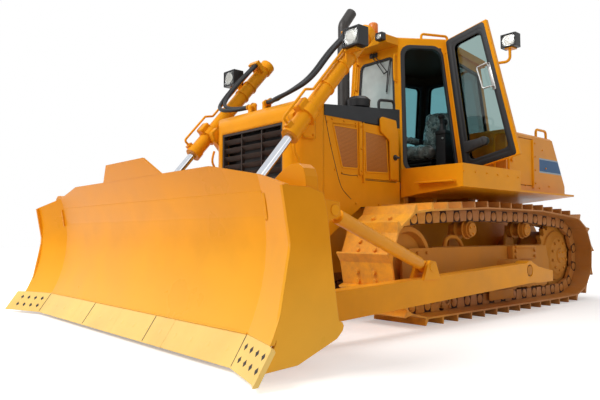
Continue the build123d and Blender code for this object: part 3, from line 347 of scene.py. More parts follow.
def creased_film(name):
    """Loose clear wrap over dark cloth: grey sheen, with painted white highlights along its creases
    and in cloudy patches.
    """
    material, tree, shader = new_material(name)
    point = object_point(tree)
    folds = noise(tree, point, 11.0, 4, 0.60)
    crease_highlight = ramp(tree, math(tree, "ABSOLUTE", math(tree, "SUBTRACT", folds, 0.5)), 0.085, 0.0)
    crease_highlight = math(tree, "MULTIPLY", crease_highlight, ramp(tree, noise(tree, point, 5.0, 2), 0.35, 0.55))
    cloudy_highlight = ramp(tree, noise(tree, point, 9.0, 3), 0.40, 0.70, 0.05, 0.55)
    share = math(tree, "MAXIMUM", crease_highlight, cloudy_highlight)
    # Pale colour along the creases and in cloudy patches: painted highlights on the wrap
    base = blend_colour(tree, share, (0.075, 0.084, 0.080), (0.78, 0.84, 0.81))
    tree.links.new(base, shader.inputs["Base Color"])
    shader.inputs["Roughness"].default_value = 0.22
    shader.inputs["Coat Weight"].default_value = 1.0
    shader.inputs["Coat Roughness"].default_value = 0.08
    tree.links.new(bump(tree, folds, 1.0, 0.03), shader.inputs["Normal"])
    return material


def cab_paint(name, colour, dark_inside, soil, rough):
    """Body enamel outside, and a dark brown-black colour on every face inside the cab's outer walls.
    """
    material = paint(name, colour, soil, rough)
    tree = material.node_tree
    shader = tree.nodes["Principled BSDF"]
    x, y, z = split_point(tree, object_point(tree))
    folded = add_node(tree, "ShaderNodeCombineXYZ")
    for value, slot in ((x, "X"), (math(tree, "ABSOLUTE", y), "Y"), (z, "Z")):
        tree.links.new(value, folded.inputs[slot])
    outmost = None
    low_ring, high_ring = cab_corners(CAB_FLOOR), cab_corners(CAB_TOP)
    for first, second in ((5, 0), (0, 1), (1, 2), (2, 3)):
        corner = at(*low_ring[first], CAB_FLOOR)
        normal = (at(*low_ring[second], CAB_FLOOR) - corner).cross(
            at(*high_ring[first], CAB_TOP) - corner).normalized()
        dot = add_node(tree, "ShaderNodeVectorMath", operation="DOT_PRODUCT")
        tree.links.new(folded.outputs[0], dot.inputs[0])
        dot.inputs[1].default_value = normal
        out = math(tree, "SUBTRACT", dot.outputs["Value"], normal.dot(corner))
        outmost = out if outmost is None else math(tree, "MAXIMUM", outmost, out)
    inside = math(tree, "MULTIPLY", math(tree, "LESS_THAN", outmost, -0.006),
                  math(tree, "MULTIPLY", math(tree, "LESS_THAN", z, CAB_TOP / 1000 + 0.001),
                       math(tree, "GREATER_THAN", z, CAB_FLOOR / 1000 + 0.002)))
    # Dark brown-black on every face inside the cab
    base = shader.inputs["Base Color"].links[0].from_socket
    tree.links.new(blend_colour(tree, inside, base, dark_inside), shader.inputs["Base Color"])
    shine = shader.inputs["Roughness"].links[0].from_socket
    tree.links.new(math(tree, "MAXIMUM", shine, math(tree, "MULTIPLY", inside, 0.8)),
                   shader.inputs["Roughness"])
    return material


def air_mesh(name, colour, pitch=0.012):
    """Perforated sheet: rows of small round holes, with painted shade inside each hole."""
    material, tree, shader = new_material(name)
    point = object_point(tree)
    cells = add_node(tree, "ShaderNodeTexVoronoi")
    cells.inputs["Scale"].default_value = 1 / pitch
    cells.inputs["Randomness"].default_value = 0.0
    tree.links.new(point, cells.inputs["Vector"])
    hole_shade = ramp(tree, cells.outputs["Distance"], 0.42, 0.30)
    # Painted shade inside each hole
    base = blend_colour(tree, hole_shade, colour, tuple(0.28 * c for c in colour))
    tree.links.new(base, shader.inputs["Base Color"])
    shader.inputs["Roughness"].default_value = 0.55
    tree.links.new(bump(tree, math(tree, "SUBTRACT", 1.0, hole_shade), 0.6, 0.003),
                   shader.inputs["Normal"])
    return material


finishes = {}


# Ways of making a piece


def deselect():
    bpy.ops.object.select_all(action="DESELECT")


def primitive(kind, **values):
    deselect()
    getattr(bpy.ops.mesh, "primitive_" + kind + "_add")(**values)
    return bpy.context.object


def apply_modifier(piece, kind, **values):
    bpy.context.view_layer.objects.active = piece
    modifier = piece.modifiers.new(kind.lower(), kind)
    for key, value in values.items():
        setattr(modifier, key, value)
    bpy.ops.object.modifier_apply(modifier=modifier.name)
    return piece


def set_down(piece):
    """Put a piece's place, turn and scale into its mesh."""
    deselect()
    piece.select_set(True)
    bpy.context.view_layer.objects.active = piece
    bpy.ops.object.transform_apply(location=True, rotation=True, scale=True)
    return piece


def block(low, high, bevel=0.004, segments=2):
    low, high = Vector(low), Vector(high)
    piece = primitive("cube", size=1, location=(low + high) / 2)
    piece.scale = [abs(side) for side in high - low]
    set_down(piece)
    if bevel:
        apply_modifier(piece, "BEVEL", width=bevel, segments=segments, limit_method="ANGLE")
    return piece


def side_block(low, high, side, bevel=0.004, segments=2):
    """Block between two corners given for the left side, on that side or on the right for -1."""
    low, high = at(*low), at(*high)
    low.y, high.y = sorted((side * low.y, side * high.y))
    return block(low, high, bevel, segments)


def rod(start, end, radius, sides=24, bevel=0.002):
    start, end = Vector(start), Vector(end)
    turn = (end - start).to_track_quat("Z", "Y").to_euler()
    piece = primitive("cylinder", vertices=sides, radius=radius, depth=(end - start).length,
                      location=(start + end) / 2, rotation=turn)
    set_down(piece)
    if bevel:
        apply_modifier(piece, "BEVEL", width=bevel, segments=2, limit_method="ANGLE",
                       angle_limit=radians(50))
    return piece


def joined(pieces):
    deselect()
    for piece in pieces:
        piece.select_set(True)
    bpy.context.view_layer.objects.active = pieces[0]
    if len(pieces) > 1:
        bpy.ops.object.join()
    return pieces[0]


def facing(point, normal, turn=0.0):
    """Matrix that stands a model made along Z on a surface, with that normal."""
    normal = Vector(normal).normalized()
    return (Matrix.Translation(point) @ normal.to_track_quat("Z", "Y").to_matrix().to_4x4()
            @ Matrix.Rotation(turn, 4, "Z"))


def axes(origin, across, rise, along):
    """Matrix from a model's own X, Y and Z to the given directions."""
    turn = Matrix((across, rise, along)).transposed().to_4x4()
    return Matrix.Translation(origin) @ turn


def copied(model, matrices):
    """One mesh with a copy of the model at each matrix, in place of the model."""
    pieces = []
    for matrix in matrices:
        piece = model.copy()
        piece.data = model.data.copy()
        bpy.context.collection.objects.link(piece)
        piece.matrix_world = matrix
        pieces.append(piece)
    bpy.data.objects.remove(model)
    return joined(pieces)


def settle(piece, name, body, finish, angle=0.6):
    """Name a finished piece, give it its material and let it move with its body."""
    set_down(piece)
    bpy.ops.object.shade_smooth_by_angle(angle=angle)
    piece.name = name
    piece.data.name = name
    piece.data.materials.clear()
    piece.data.materials.append(finishes[finish])
    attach(piece, body)
    return piece


def bolt_model(size):
    """Hexagon head on a washer, standing on Z = 0; size is across the flats."""
    washer = primitive("cylinder", vertices=14, radius=size * 0.68, depth=size * 0.14,
                       location=(0, 0, size * 0.07))
    head = primitive("cylinder", vertices=6, radius=size * 0.577, depth=size * 0.5,
                     location=(0, 0, size * 0.38))
    bolt = joined([head, washer])
    set_down(bolt)
    return apply_modifier(bolt, "BEVEL", width=size * 0.05, segments=1, limit_method="ANGLE",
                          angle_limit=radians(50))


def smooth_line(name, points):
    """Curve object of one NURBS spline through the given control points."""
    curve = bpy.data.curves.new(name, "CURVE")
    curve.dimensions = "3D"
    spline = curve.splines.new("NURBS")
    spline.points.add(len(points) - 1)
    for knot, point in zip(spline.points, points):
        knot.co = (*point, 1.0)
    spline.order_u = 3
    spline.use_endpoint_u = True
    spline.resolution_u = 10
    line = bpy.data.objects.new(name, curve)
    bpy.context.collection.objects.link(line)
    return line


def tube(name, points, radius, sides=3):
    """Tube along a smooth line: the mesh piece, and the points that its middle follows."""
    line = smooth_line(name, points)
    middle = bpy.data.meshes.new_from_object(line)
    path = [vertex.co.copy() for vertex in middle.vertices]
    bpy.data.meshes.remove(middle)
    line.data.bevel_depth = radius
    line.data.bevel_resolution = sides
    line.data.use_fill_caps = True
    deselect()
    line.select_set(True)
    bpy.context.view_layer.objects.active = line
    bpy.ops.object.convert(target="MESH")
    return bpy.context.object, path


def bent_bar(points, radius, corner=0.03, sides=3):
    """Round bar with straight runs and short bends at its corners."""
    points = [Vector(point) for point in points]
    knots = [points[0]]
    for before, here, after in zip(points, points[1:], points[2:]):
        back, on = (before - here), (after - here)
        reach = min(corner, 0.45 * back.length, 0.45 * on.length)
        knots += [here + back.normalized() * reach, here, here + on.normalized() * reach]
    knots.append(points[-1])
    return tube("bar", knots, radius, sides)[0]


def rounded_sheet(corners, radius, segments=6):
    """Flat face with the given corners, each rounded off."""
    sheet = primitive("circle", vertices=len(corners), fill_type="NGON")
    for vertex, corner in zip(sheet.data.vertices, corners):
        vertex.co = corner
    bpy.ops.object.mode_set(mode="EDIT")
    bpy.ops.mesh.select_all(action="SELECT")
    bpy.ops.mesh.bevel(offset=radius, segments=segments, affect="VERTICES", clamp_overlap=True)
    bpy.ops.object.mode_set(mode="OBJECT")
    return sheet


def moved_in(corners, margin):
    """Corners of a four-sided outline with each side moved in by the margin."""
    result = []
    for k, corner in enumerate(corners):
        here = Vector(corner)
        ahead = (Vector(corners[(k + 1) % 4]) - here).normalized()
        back = (Vector(corners[k - 1]) - here).normalized()
        spread = ahead.cross(back).length
        result.append(here + (ahead + back) * (margin / spread))
    return result


def ring(corners, outer, inner, outer_radius, inner_radius, thick, out):
    """Flat frame with rounded corners between two margins, thickened along 'out'."""
    return band(moved_in(corners, outer), moved_in(corners, inner), outer_radius, inner_radius,
                thick, out)


def band(outer, inner, outer_radius, inner_radius, thick, out):
    """Flat frame between two outlines with rounded corners, thickened along 'out'."""
    sheets = [rounded_sheet(outer, outer_radius), rounded_sheet(inner, inner_radius)]
    frame_ring = joined(sheets)
    bpy.ops.object.mode_set(mode="EDIT")
    bpy.ops.mesh.select_mode(type="FACE")
    bpy.ops.mesh.select_all(action="SELECT")
    bpy.ops.mesh.delete(type="ONLY_FACE")
    bpy.ops.mesh.select_mode(type="EDGE")
    bpy.ops.mesh.select_all(action="SELECT")
    bpy.ops.mesh.bridge_edge_loops()
    bpy.ops.mesh.normals_make_consistent(inside=False)
    bpy.ops.object.mode_set(mode="OBJECT")
    face_out = Vector(out)
    if frame_ring.data.polygons[0].normal.dot(face_out) < 0:
        frame_ring.data.flip_normals()
    apply_modifier(frame_ring, "SOLIDIFY", thickness=thick, offset=1.0)
    return apply_modifier(frame_ring, "BEVEL", width=min(0.003, thick / 4), segments=2,
                          limit_method="ANGLE", angle_limit=radians(50))


def panel(corners, radius, thick, out):
    """Flat plate with the given corners rounded off, thickened along 'out'."""
    plate = rounded_sheet(corners, radius)
    if plate.data.polygons[0].normal.dot(Vector(out)) < 0:
        plate.data.flip_normals()
    apply_modifier(plate, "SOLIDIFY", thickness=thick, offset=1.0)
    return apply_modifier(plate, "BEVEL", width=min(0.006, thick / 3), segments=2,
                          limit_method="ANGLE", angle_limit=radians(50))


# Moulded, cast, plated and rubber finishes, and the painted shade of the chain's joints: name,
# colour, roughness and what else differs
PLAIN_FINISHES = {
    # Dark brown of the chain's joint plates: painted shade in the gaps between links
    "grime_and_shade": ("painted joint shade", (0.050, 0.020, 0.008), 0.85, dict(grain=70, depth=0.5)),
    "rubber": ("hose rubber", (0.012, 0.012, 0.013), 0.52, dict(grain=420)),
    "chrome": ("rod chrome", (0.62, 0.65, 0.70), 0.13,
               dict(metal=1.0, grain=30, depth=0.01, shift=0.03)),
    "stack": ("exhaust steel", (0.045, 0.042, 0.040), 0.45, dict(metal=0.6)),
    "cast": ("dark casting", (0.035, 0.033, 0.032), 0.6, dict(grain=90, depth=0.4)),
    "gasket": ("window rubber", (0.010, 0.010, 0.011), 0.45, dict(grain=300)),
    "plastic": ("console plastic", (0.022, 0.022, 0.023), 0.5, dict(grain=320)),
    "cloth": ("seat cloth", (0.030, 0.031, 0.034), 0.75, dict(grain=600, depth=0.4)),
    "lamp": ("lamp housing", (0.012, 0.012, 0.013), 0.4, dict(grain=250)),
    "silver": ("reflector", (0.60, 0.58, 0.53), 0.32,
               dict(metal=0.9, grain=46, depth=0.5, shift=0.10)),
    "zinc": ("zinc plate", (0.40, 0.40, 0.39), 0.38, dict(metal=1.0, grain=90)),
    "amber": ("amber dome", (0.75, 0.20, 0.015), 0.18, dict(grain=40, depth=0.02)),
    "louvre": ("grille louvres", (0.038, 0.026, 0.020), 0.55, dict(grain=150)),
}


def make_finishes(settings):
    body, soil = tuple(settings.body), tuple(settings.soil)
    rough = settings.rough
    for key, (name, colour, dull, others) in PLAIN_FINISHES.items():
        finishes[key] = plain_finish(name, colour, dull, **others)
    finishes["black"] = plain_finish("satin black", tuple(settings.black), 0.42)
    finishes["slate"] = plain_finish("hood top black", tuple(settings.slate), 0.40)
    finishes["mesh"] = air_mesh("air mesh", tuple(settings.mesh))
    finishes["film"] = creased_film("seat wrap film")
    finishes["glass"] = clear_glass("cab glass", (0.66, 0.72, 0.69), (0.12, 0.31, 0.34),
                                    AXLE + 1.4, AXLE + 1.88)
    finishes["door_glass"] = clear_glass("door glass", (0.27, 0.38, 0.36))
    finishes["lens"] = clear_glass("lamp lens", (0.92, 0.94, 0.95))
    finishes["yellow"] = paint("body yellow enamel", body, soil, rough, dirt=0.10, dirt_top=0.7)
    finishes["nose"] = paint("nose enamel", body, soil, rough - 0.04, dust=0.08, edge=0.0,
                             edge_radius=0.045)
    # Cutting edge: pale cream colour painted as the sky's reflection on its upward slope; the pale
    # cream mixed onto its upward faces is dust and painted sky reflection together
    finishes["edge"] = paint("edge enamel with painted sky reflection", (1.0, 0.66, 0.20), (0.88, 0.70, 0.42), 0.34,
                             dust=0.25, edge=0.3, edge_radius=0.004)
    finishes["under"] = paint("undercarriage enamel", tuple(settings.under), soil, 0.55, dust=0.7,
                              dirt=0.38, dirt_top=0.95, edge=0.15)
    finishes["cab"] = cab_paint("cab enamel and lining", body, (0.030, 0.024, 0.018), soil, rough)
    # Blade: paler cream low down as a painted reflection of the ground, deeper orange near the top
    # as painted shade
    finishes["blade"] = painted_light_by_height(
        paint("blade yellow enamel", body, soil, rough - 0.05, dust=0.05, peel=0.03),
        [(0.10, 0.80, 0.62), (1.40, 0.70, 0.80)],
        [(1.0, 0.60, 0.085), (0.66, 0.225, 0.006)])
    finishes["tracks"] = soiled_steel("track shoes", tuple(settings.tracks), soil, 0.58, 0.42,
                                      (0.95, 0.42, 0.012), AXLE + 2.62)
    # Tank colour shifted toward grey-pink: a painted cast of the pale sky's light on the tank
    sky_tinted = tuple(0.86 * a + 0.14 * b for a, b in zip(body, (0.50, 0.30, 0.30)))
    finishes["tank"] = striped_paint(
        "tank enamel with stripe", (sky_tinted, tuple(settings.stripe), (0.34, 0.44, 0.50)), soil, rough,
        (1.462, 1.592, AXLE + 0.545, 0.016))


# How each node of the frame is finished, and each pair of a left and a right node
NODE_FINISH = {
    "nose": "nose", "blade": "blade", "cutting_edge": "edge", "rear_tank": "tank",
    "hood_top": "slate", "grille": "louvre", "radiator": "cast", "engine": "cast",
    "exhaust_stack": "stack", "pre_cleaner": "black", "hood_rails": "black",
    "cab_shell": "cab", "cab_roof": "cab", "cab_glass": "glass", "cab_lamps": "lamp",
    "seat": "cloth", "consoles": "plastic", "handrails": "yellow", "side_panels": "yellow",
    "platform": "yellow", "tank_door": "yellow", "main_frame": "yellow", "drawbar": "yellow",
}
PAIR_FINISH = {
    "engine_door": "yellow", "cab_door": "yellow", "cab_door_glass": "door_glass",
    "push_arm": "yellow", "brace": "yellow", "lift_barrel": "yellow", "lift_rod": "chrome",
    "barrel_lamp": "lamp", "hose_inner": "rubber", "hose_outer": "rubber", "track": "tracks",
    "track_frame": "under", "final_drive": "under", "rollers": "under",
}
for pair, finish_name in PAIR_FINISH.items():
    for word in ("left", "right"):
        NODE_FINISH[pair + "_" + word] = finish_name


class DOZER_OT_finishes(bpy.types.Operator):
    """Give every node of the frame its procedural finish"""
    bl_idname = "dozer.finishes"
    bl_label = "Finishes"

    def execute(self, context):
        make_finishes(context.scene.dozer_paint)
        for name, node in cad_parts.items():
            node.data.materials.clear()
            node.data.materials.append(finishes[NODE_FINISH[name]])
        return {"FINISHED"}


# Where the camera stands, as ahead, left and up in millimetres, and how its picture is shifted
CAMERA_PLACE = (6875.4, 4281.55, 755.49)
CAMERA_SHIFT = (0.00255, -0.00187)

# Soft lamps: name, place, size, share of the key lamp's power, colour
LAMPS = [
    ("key", (8.0, -1.0, 7.5), 5.0, 1.0, (1, 1, 1)),
    ("fill", (2.5, 8.0, 4.5), 6.0, 0.13, (1.0, 0.88, 0.74)),
    ("top", (-1.5, 1.5, 9.0), 5.0, 0.26, (1, 1, 1)),
]
LAMP_AIM = Vector((0.0, 0.0, 1.2))


class DOZER_OT_stage(bpy.types.Operator):
    """Camera at the photograph's place, pale floor, white surround and soft lamps"""
    bl_idname = "dozer.stage"
    bl_label = "Stage"

    def execute(self, context):
        view = context.scene.dozer_view
        bpy.ops.object.camera_add(location=at(*CAMERA_PLACE))
        camera = context.object
        camera.name = "camera"
        ahead = Vector((-cos(view.yaw) * cos(view.pitch), -sin(view.yaw) * cos(view.pitch),
                        sin(view.pitch)))
        right = ahead.cross(Vector((0, 0, 1))).normalized()
        up = right.cross(ahead)
        turn = Matrix((right, up, -ahead)).transposed()
        camera.matrix_world = Matrix.Translation(camera.location) @ turn.to_4x4()
        camera.data.sensor_width = 36
        camera.data.lens = view.lens
        camera.data.shift_x, camera.data.shift_y = CAMERA_SHIFT
        camera.data.clip_end = 200
        context.scene.camera = camera
        bpy.ops.mesh.primitive_plane_add(size=60, location=(0, 0, 0))
        floor = context.object
        floor.name = "floor"
        floor.data.materials.append(self.floor_material())
        for name, place, size, share, colour in LAMPS:
            self.lamp(name, place, size, view.key * share, colour)
        self.world(context.scene, view.sky)
        context.scene.view_settings.view_transform = "Standard"
        return {"FINISHED"}

    def lamp(self, name, place, size, power, colour):
        bpy.ops.object.light_add(type="AREA", location=place)
        lamp = bpy.context.object
        lamp.name = name
        lamp.data.size = size
        lamp.data.energy = power
        lamp.data.color = colour
        aim = LAMP_AIM - Vector(place)
        lamp.rotation_euler = aim.to_track_quat("-Z", "Y").to_euler()

    def seen_directly(self, tree):
        path = add_node(tree, "ShaderNodeLightPath")
        seen = math(tree, "MAXIMUM", path.outputs["Is Camera Ray"],
                    path.outputs["Is Transmission Ray"])
        return math(tree, "MAXIMUM", seen, path.outputs["Is Glossy Ray"])

    def floor_material(self):
        material, tree, shader = new_material("studio floor")
        point = object_point(tree)
        tone = ramp(tree, noise(tree, point, 0.4, 3), 0.3, 0.7)
        tree.links.new(blend_colour(tree, tone, (0.80, 0.80, 0.80), (0.86, 0.86, 0.86)),
                       shader.inputs["Base Color"])
        shader.inputs["Roughness"].default_value = 0.9
        seen = self.seen_directly(tree)
        reach = add_node(tree, "ShaderNodeVectorMath", operation="LENGTH")
        tree.links.new(point, reach.inputs[0])
        level = ramp(tree, reach.outputs["Value"], 2.9, 4.6, 0.34, 1.0)
        tree.links.new(math(tree, "MULTIPLY", seen, level), shader.inputs["Emission Strength"])
        shader.inputs["Emission Color"].default_value = (1, 1, 1, 1)
        return material

    def world(self, scene, strength):
        world = bpy.data.worlds.new("studio")
        world.use_nodes = True
        scene.world = world
        tree = world.node_tree
        background = tree.nodes["Background"]
        background.inputs["Color"].default_value = (1, 1, 1, 1)
        level = ramp(tree, self.seen_directly(tree), 0.0, 1.0, strength, 1.0)
        tree.links.new(level, background.inputs["Strength"])


# Lift cylinders: the yoke's pin on the left, and the cylinder's direction down to the blade
YOKE = (3650, 730, 1750)
LIFT = Vector((870, 0, -990)).normalized()
LIFT_RISE = Vector((990, 0, 870)).normalized()


def on_lift(across, rise, along, side):
    """Point on a lift cylinder: across it, above its axis, along it from its yoke's pin."""
    point = at(YOKE[0], YOKE[1] + across, YOKE[2]) + (LIFT * along + LIFT_RISE * rise) / 1000
    return Vector((point.x, side * point.y, point.z))


# Hoses as in the frame: name, place across the cylinder, points along the cylinder as
# along and above its axis, then points over the nose as ahead, left and up
HOSES = [
    ("hose_inner", -80, [(-950.7, 133), (-880, 133), (-650, 152), (-330, 138)],
     [(3605, 492, 1990), (3602, 300, 1958), (3552, 240, 1968), (3552, 150.3, 1968)]),
    ("hose_outer", -35, [(-950.7, 133), (-880, 133), (-640, 150), (-285, 138)],
     [(3650, 516, 1965), (3650, 300, 1938), (3602, 240, 1945), (3602, 150.3, 1945)]),
]


class DOZER_OT_hoses(bpy.types.Operator):
    """Two hoses from the nose to each lift cylinder"""
    bl_idname = "dozer.hoses"
    bl_label = "Hoses"

    def execute(self, context):
        for side, word in ((1, "left"), (-1, "right")):
            for name, across, along_points, nose_points in HOSES:
                points = [on_lift(across, rise, along, side) for along, rise in along_points]
                points += [at(s, side * y, z) for s, y, z in nose_points]
                points.reverse()
                piece, path = tube(name, points, 0.019, 4)
                bpy.ops.object.shade_smooth()
                piece.name = name + "_tube_" + word
                piece.data.materials.clear()
                piece.data.materials.append(finishes["rubber"])
                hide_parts(name + "_" + word)
                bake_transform(piece)
        return {"FINISHED"}


# Circles that the chain's pins run round: ahead, up, radius of the pin line
CHAIN_CIRCLES = [(0, 515, 369), (776, 808, 130), (1846, 808, 130), (2815, 512, 376),
                 (2330, 278, 142), (430, 278, 142)]
SHOE_PITCH = 0.216
TRACK_MIDDLE = 1006
CHAIN_HALF = 92


def chain_pins():
    """Pin centres of the closed chain, as X and Z in metres."""
    circles = [(at(s, 0, z).x, z / 1000, r / 1000) for s, z, r in CHAIN_CIRCLES]
    normals = []
    for k, (x0, z0, r0) in enumerate(circles):
        x1, z1, r1 = circles[(k + 1) % len(circles)]
        span = hypot(x1 - x0, z1 - z0)
        along = ((x1 - x0) / span, (z1 - z0) / span)
        rise = (r0 - r1) / span
        level = sqrt(1 - rise * rise)
        normals.append((along[0] * rise - along[1] * level, along[1] * rise + along[0] * level))
    spans = []
    for k, (x, z, r) in enumerate(circles):
        into, out = normals[k - 1], normals[k]
        turn = (atan2(into[1], into[0]) - atan2(out[1], out[0])) % (2 * pi)
        spans.append((r * turn, "arc", (x, z, r, atan2(into[1], into[0]))))
        x1, z1, r1 = circles[(k + 1) % len(circles)]
        start, end = (x + r * out[0], z + r * out[1]), (x1 + r1 * out[0], z1 + r1 * out[1])
        spans.append((hypot(end[0] - start[0], end[1] - start[1]), "run", (start, end)))
    total = sum(span[0] for span in spans)
    count = round(total / SHOE_PITCH)
    pins = []
    for k in range(count):
        left = total * k / count
        for length, kind, data in spans:
            if left <= length:
                break
            left -= length
        if kind == "arc":
            x, z, r, angle = data
            pins.append((x + r * cos(angle - left / r), z + r * sin(angle - left / r)))
        else:
            (ax, az), (bx, bz) = data
            pins.append((ax + left / length * (bx - ax), az + left / length * (bz - az)))
    return pins


def link_places(y, share=0.0, rise=0.0):
    """Matrix for each chain link: X along it, Y across the machine, Z away from the track."""
    pins = chain_pins()
    places = []
    for k, (x0, z0) in enumerate(pins):
        x1, z1 = pins[(k + 1) % len(pins)]
        along = Vector((x1 - x0, 0, z1 - z0)).normalized()
        out = Vector((-along.z, 0, along.x))
        origin = Vector((x0, 0, z0)).lerp(Vector((x1, 0, z1)), share) + out * rise
        places.append(axes(origin + Vector((0, y / 1000, 0)), along, -along.cross(out), out))
    return places


class DOZER_OT_chains(bpy.types.Operator):
    """Chain links with round pin bosses, and the bolts that hold the shoes"""
    bl_idname = "dozer.chains"
    bl_label = "Track chains"

    def link(self, side):
        """One link's outer face: a waisted plate with a boss and a pin end at each joint."""
        near, far = sorted((0.0, side * 0.006))
        plate = block((0.046, near, -0.046), (SHOE_PITCH - 0.046, far, 0.054), 0)
        for vertex in plate.data.vertices:
            if vertex.co.z < 0:
                vertex.co.x += 0.016 if vertex.co.x < SHOE_PITCH / 2 else -0.016
        apply_modifier(plate, "BEVEL", width=0.002, segments=1)
        parts = [plate]
        for x, radius, high in ((0.0, 0.043, 0.0075), (0.0, 0.022, 0.0095), (0.070, 0.013, 0.0072),
                                (0.146, 0.013, 0.0072)):
            z = 0.0 if x == 0.0 else 0.030
            parts.append(rod((x, 0, z), (x, side * high, z), radius, 18, 0.0015))
        return joined(parts)

    def joints(self, side, word):
        """Dark plate in the gap behind each joint of the chain, and in the hollow in each pin's end,
        painted as the shade there.
        """
        gaps = []
        for face in (1, -1):
            y = side * TRACK_MIDDLE + face * CHAIN_HALF
            low, high = sorted((0.0005 * face, 0.0025 * face))
            # Dark plate filling the gap: painted shade between the links
            gap = block((-0.056, low, -0.050), (0.056, high, 0.058), 0.0005, 1)
            hollow = rod((0, 0, 0), (0, face * 0.0085, 0), 0.009, 12, 0)
            gaps.append(copied(joined([gap, hollow]), link_places(y)))
        settle(joined(gaps), "chain_joints_" + word, "machine", "grime_and_shade")

    def execute(self, context):
        for side, word in ((1, "left"), (-1, "right")):
            links = []
            for face in (1, -1):
                y = side * TRACK_MIDDLE + face * CHAIN_HALF
                links.append(copied(self.link(face), link_places(y)))
            settle(joined(links), "chain_links_" + word, "machine", "tracks")
            self.joints(side, word)
            bolts = []
            for across in (-CHAIN_HALF, CHAIN_HALF):
                for share in (0.28, 0.62):
                    places = link_places(side * TRACK_MIDDLE + across, share, 0.078)
                    bolts.append(copied(bolt_model(0.034), places))
            settle(joined(bolts), "shoe_bolts_" + word, "machine", "tracks")
        return {"FINISHED"}


# The cab's shape as in the frame: floor and roof heights, corners on the left at the floor
CAB_FLOOR, CAB_TOP = 1300, 2790
CAB_PLAN = [(1992, 376), (1412, 774), (430, 580)]
CAB_FRONT = (1932, 300)
# Windshield, left, right and rear window: first and second corner, and margins from them
CAB_WINDOWS = [(5, 0, 60, 60), (1, 2, 90, 90), (3, 4, 90, 90), (2, 3, 90, 90)]
WINDOW_LOW, WINDOW_HIGH = 1760, 2690
DOOR_LOW, DOOR_HIGH = 1408, 2840
SHUT_LOW, SHUT_HIGH = 1420, 2775
WALL = 50
DOOR_SWING = radians(125)


def cab_corners(z):
    """The cab's six corners at a height, anticlockwise from the windshield's left."""
    (ax, ay), (bx, by), (cx, cy) = CAB_PLAN
    tops = [CAB_FRONT]
    tops.append((tops[0][0] + 0.78 * (bx - ax), tops[0][1] + 0.78 * (by - ay)))
    tops.append((tops[1][0] + cx - bx, tops[1][1] + cy - by))
    share = (z - CAB_FLOOR) / (CAB_TOP - CAB_FLOOR)
    left = [(f[0] + share * (t[0] - f[0]), f[1] + share * (t[1] - f[1]))
            for f, t in zip(CAB_PLAN, tops)]
    return left + [(x, -y) for x, y in reversed(left)]


def cab_point(first, second, along, z, out=0.0):
    """Point on a cab side; along is from its first corner, or back from its second if negative."""
    corners = cab_corners(z)
    (ax, ay), (bx, by) = corners[first], corners[second]
    length = hypot(bx - ax, by - ay)
    dx, dy = (bx - ax) / length, (by - ay) / length
    if along < 0:
        along += length
    return at(ax + along * dx + out * dy, ay + along * dy - out * dx, z)


def cab_frame(first, second, start, end, low, high, out=0.0):
    """Four corners of an upright rectangle in a cab side, and the direction out of it."""
    corners = [cab_point(first, second, along, z, out)
               for along, z in ((start, low), (-end, low), (-end, high), (start, high))]
    normal = cab_point(first, second, start, low, out + 100) - corners[0]
    return corners, normal.normalized()


def hinge_point(z):
    """The left door's hinge line at a height."""
    (ax, ay), (bx, by) = cab_corners(z)[:2]
    length = hypot(bx - ax, by - ay)
    dx, dy = (bx - ax) / length, (by - ay) / length
    return at(bx - 22 * dx + 34 * dy, by - 22 * dy - 34 * dx, z)


def door_opened():
    """Matrix that carries a piece of the shut left door to its open place."""
    low, high = hinge_point(SHUT_LOW), hinge_point(SHUT_HIGH)
    turn = Matrix.Rotation(DOOR_SWING, 4, (high - low).normalized())
    return Matrix.Translation(low) @ turn @ Matrix.Translation(-low)


def mirrored(piece):
    """A copy of a piece on the machine's other side."""
    copy = piece.copy()
    copy.data = piece.data.copy()
    bpy.context.collection.objects.link(copy)
    copy.data.transform(Matrix.Diagonal((1, -1, 1, 1)))
    copy.data.flip_normals()
    return copy


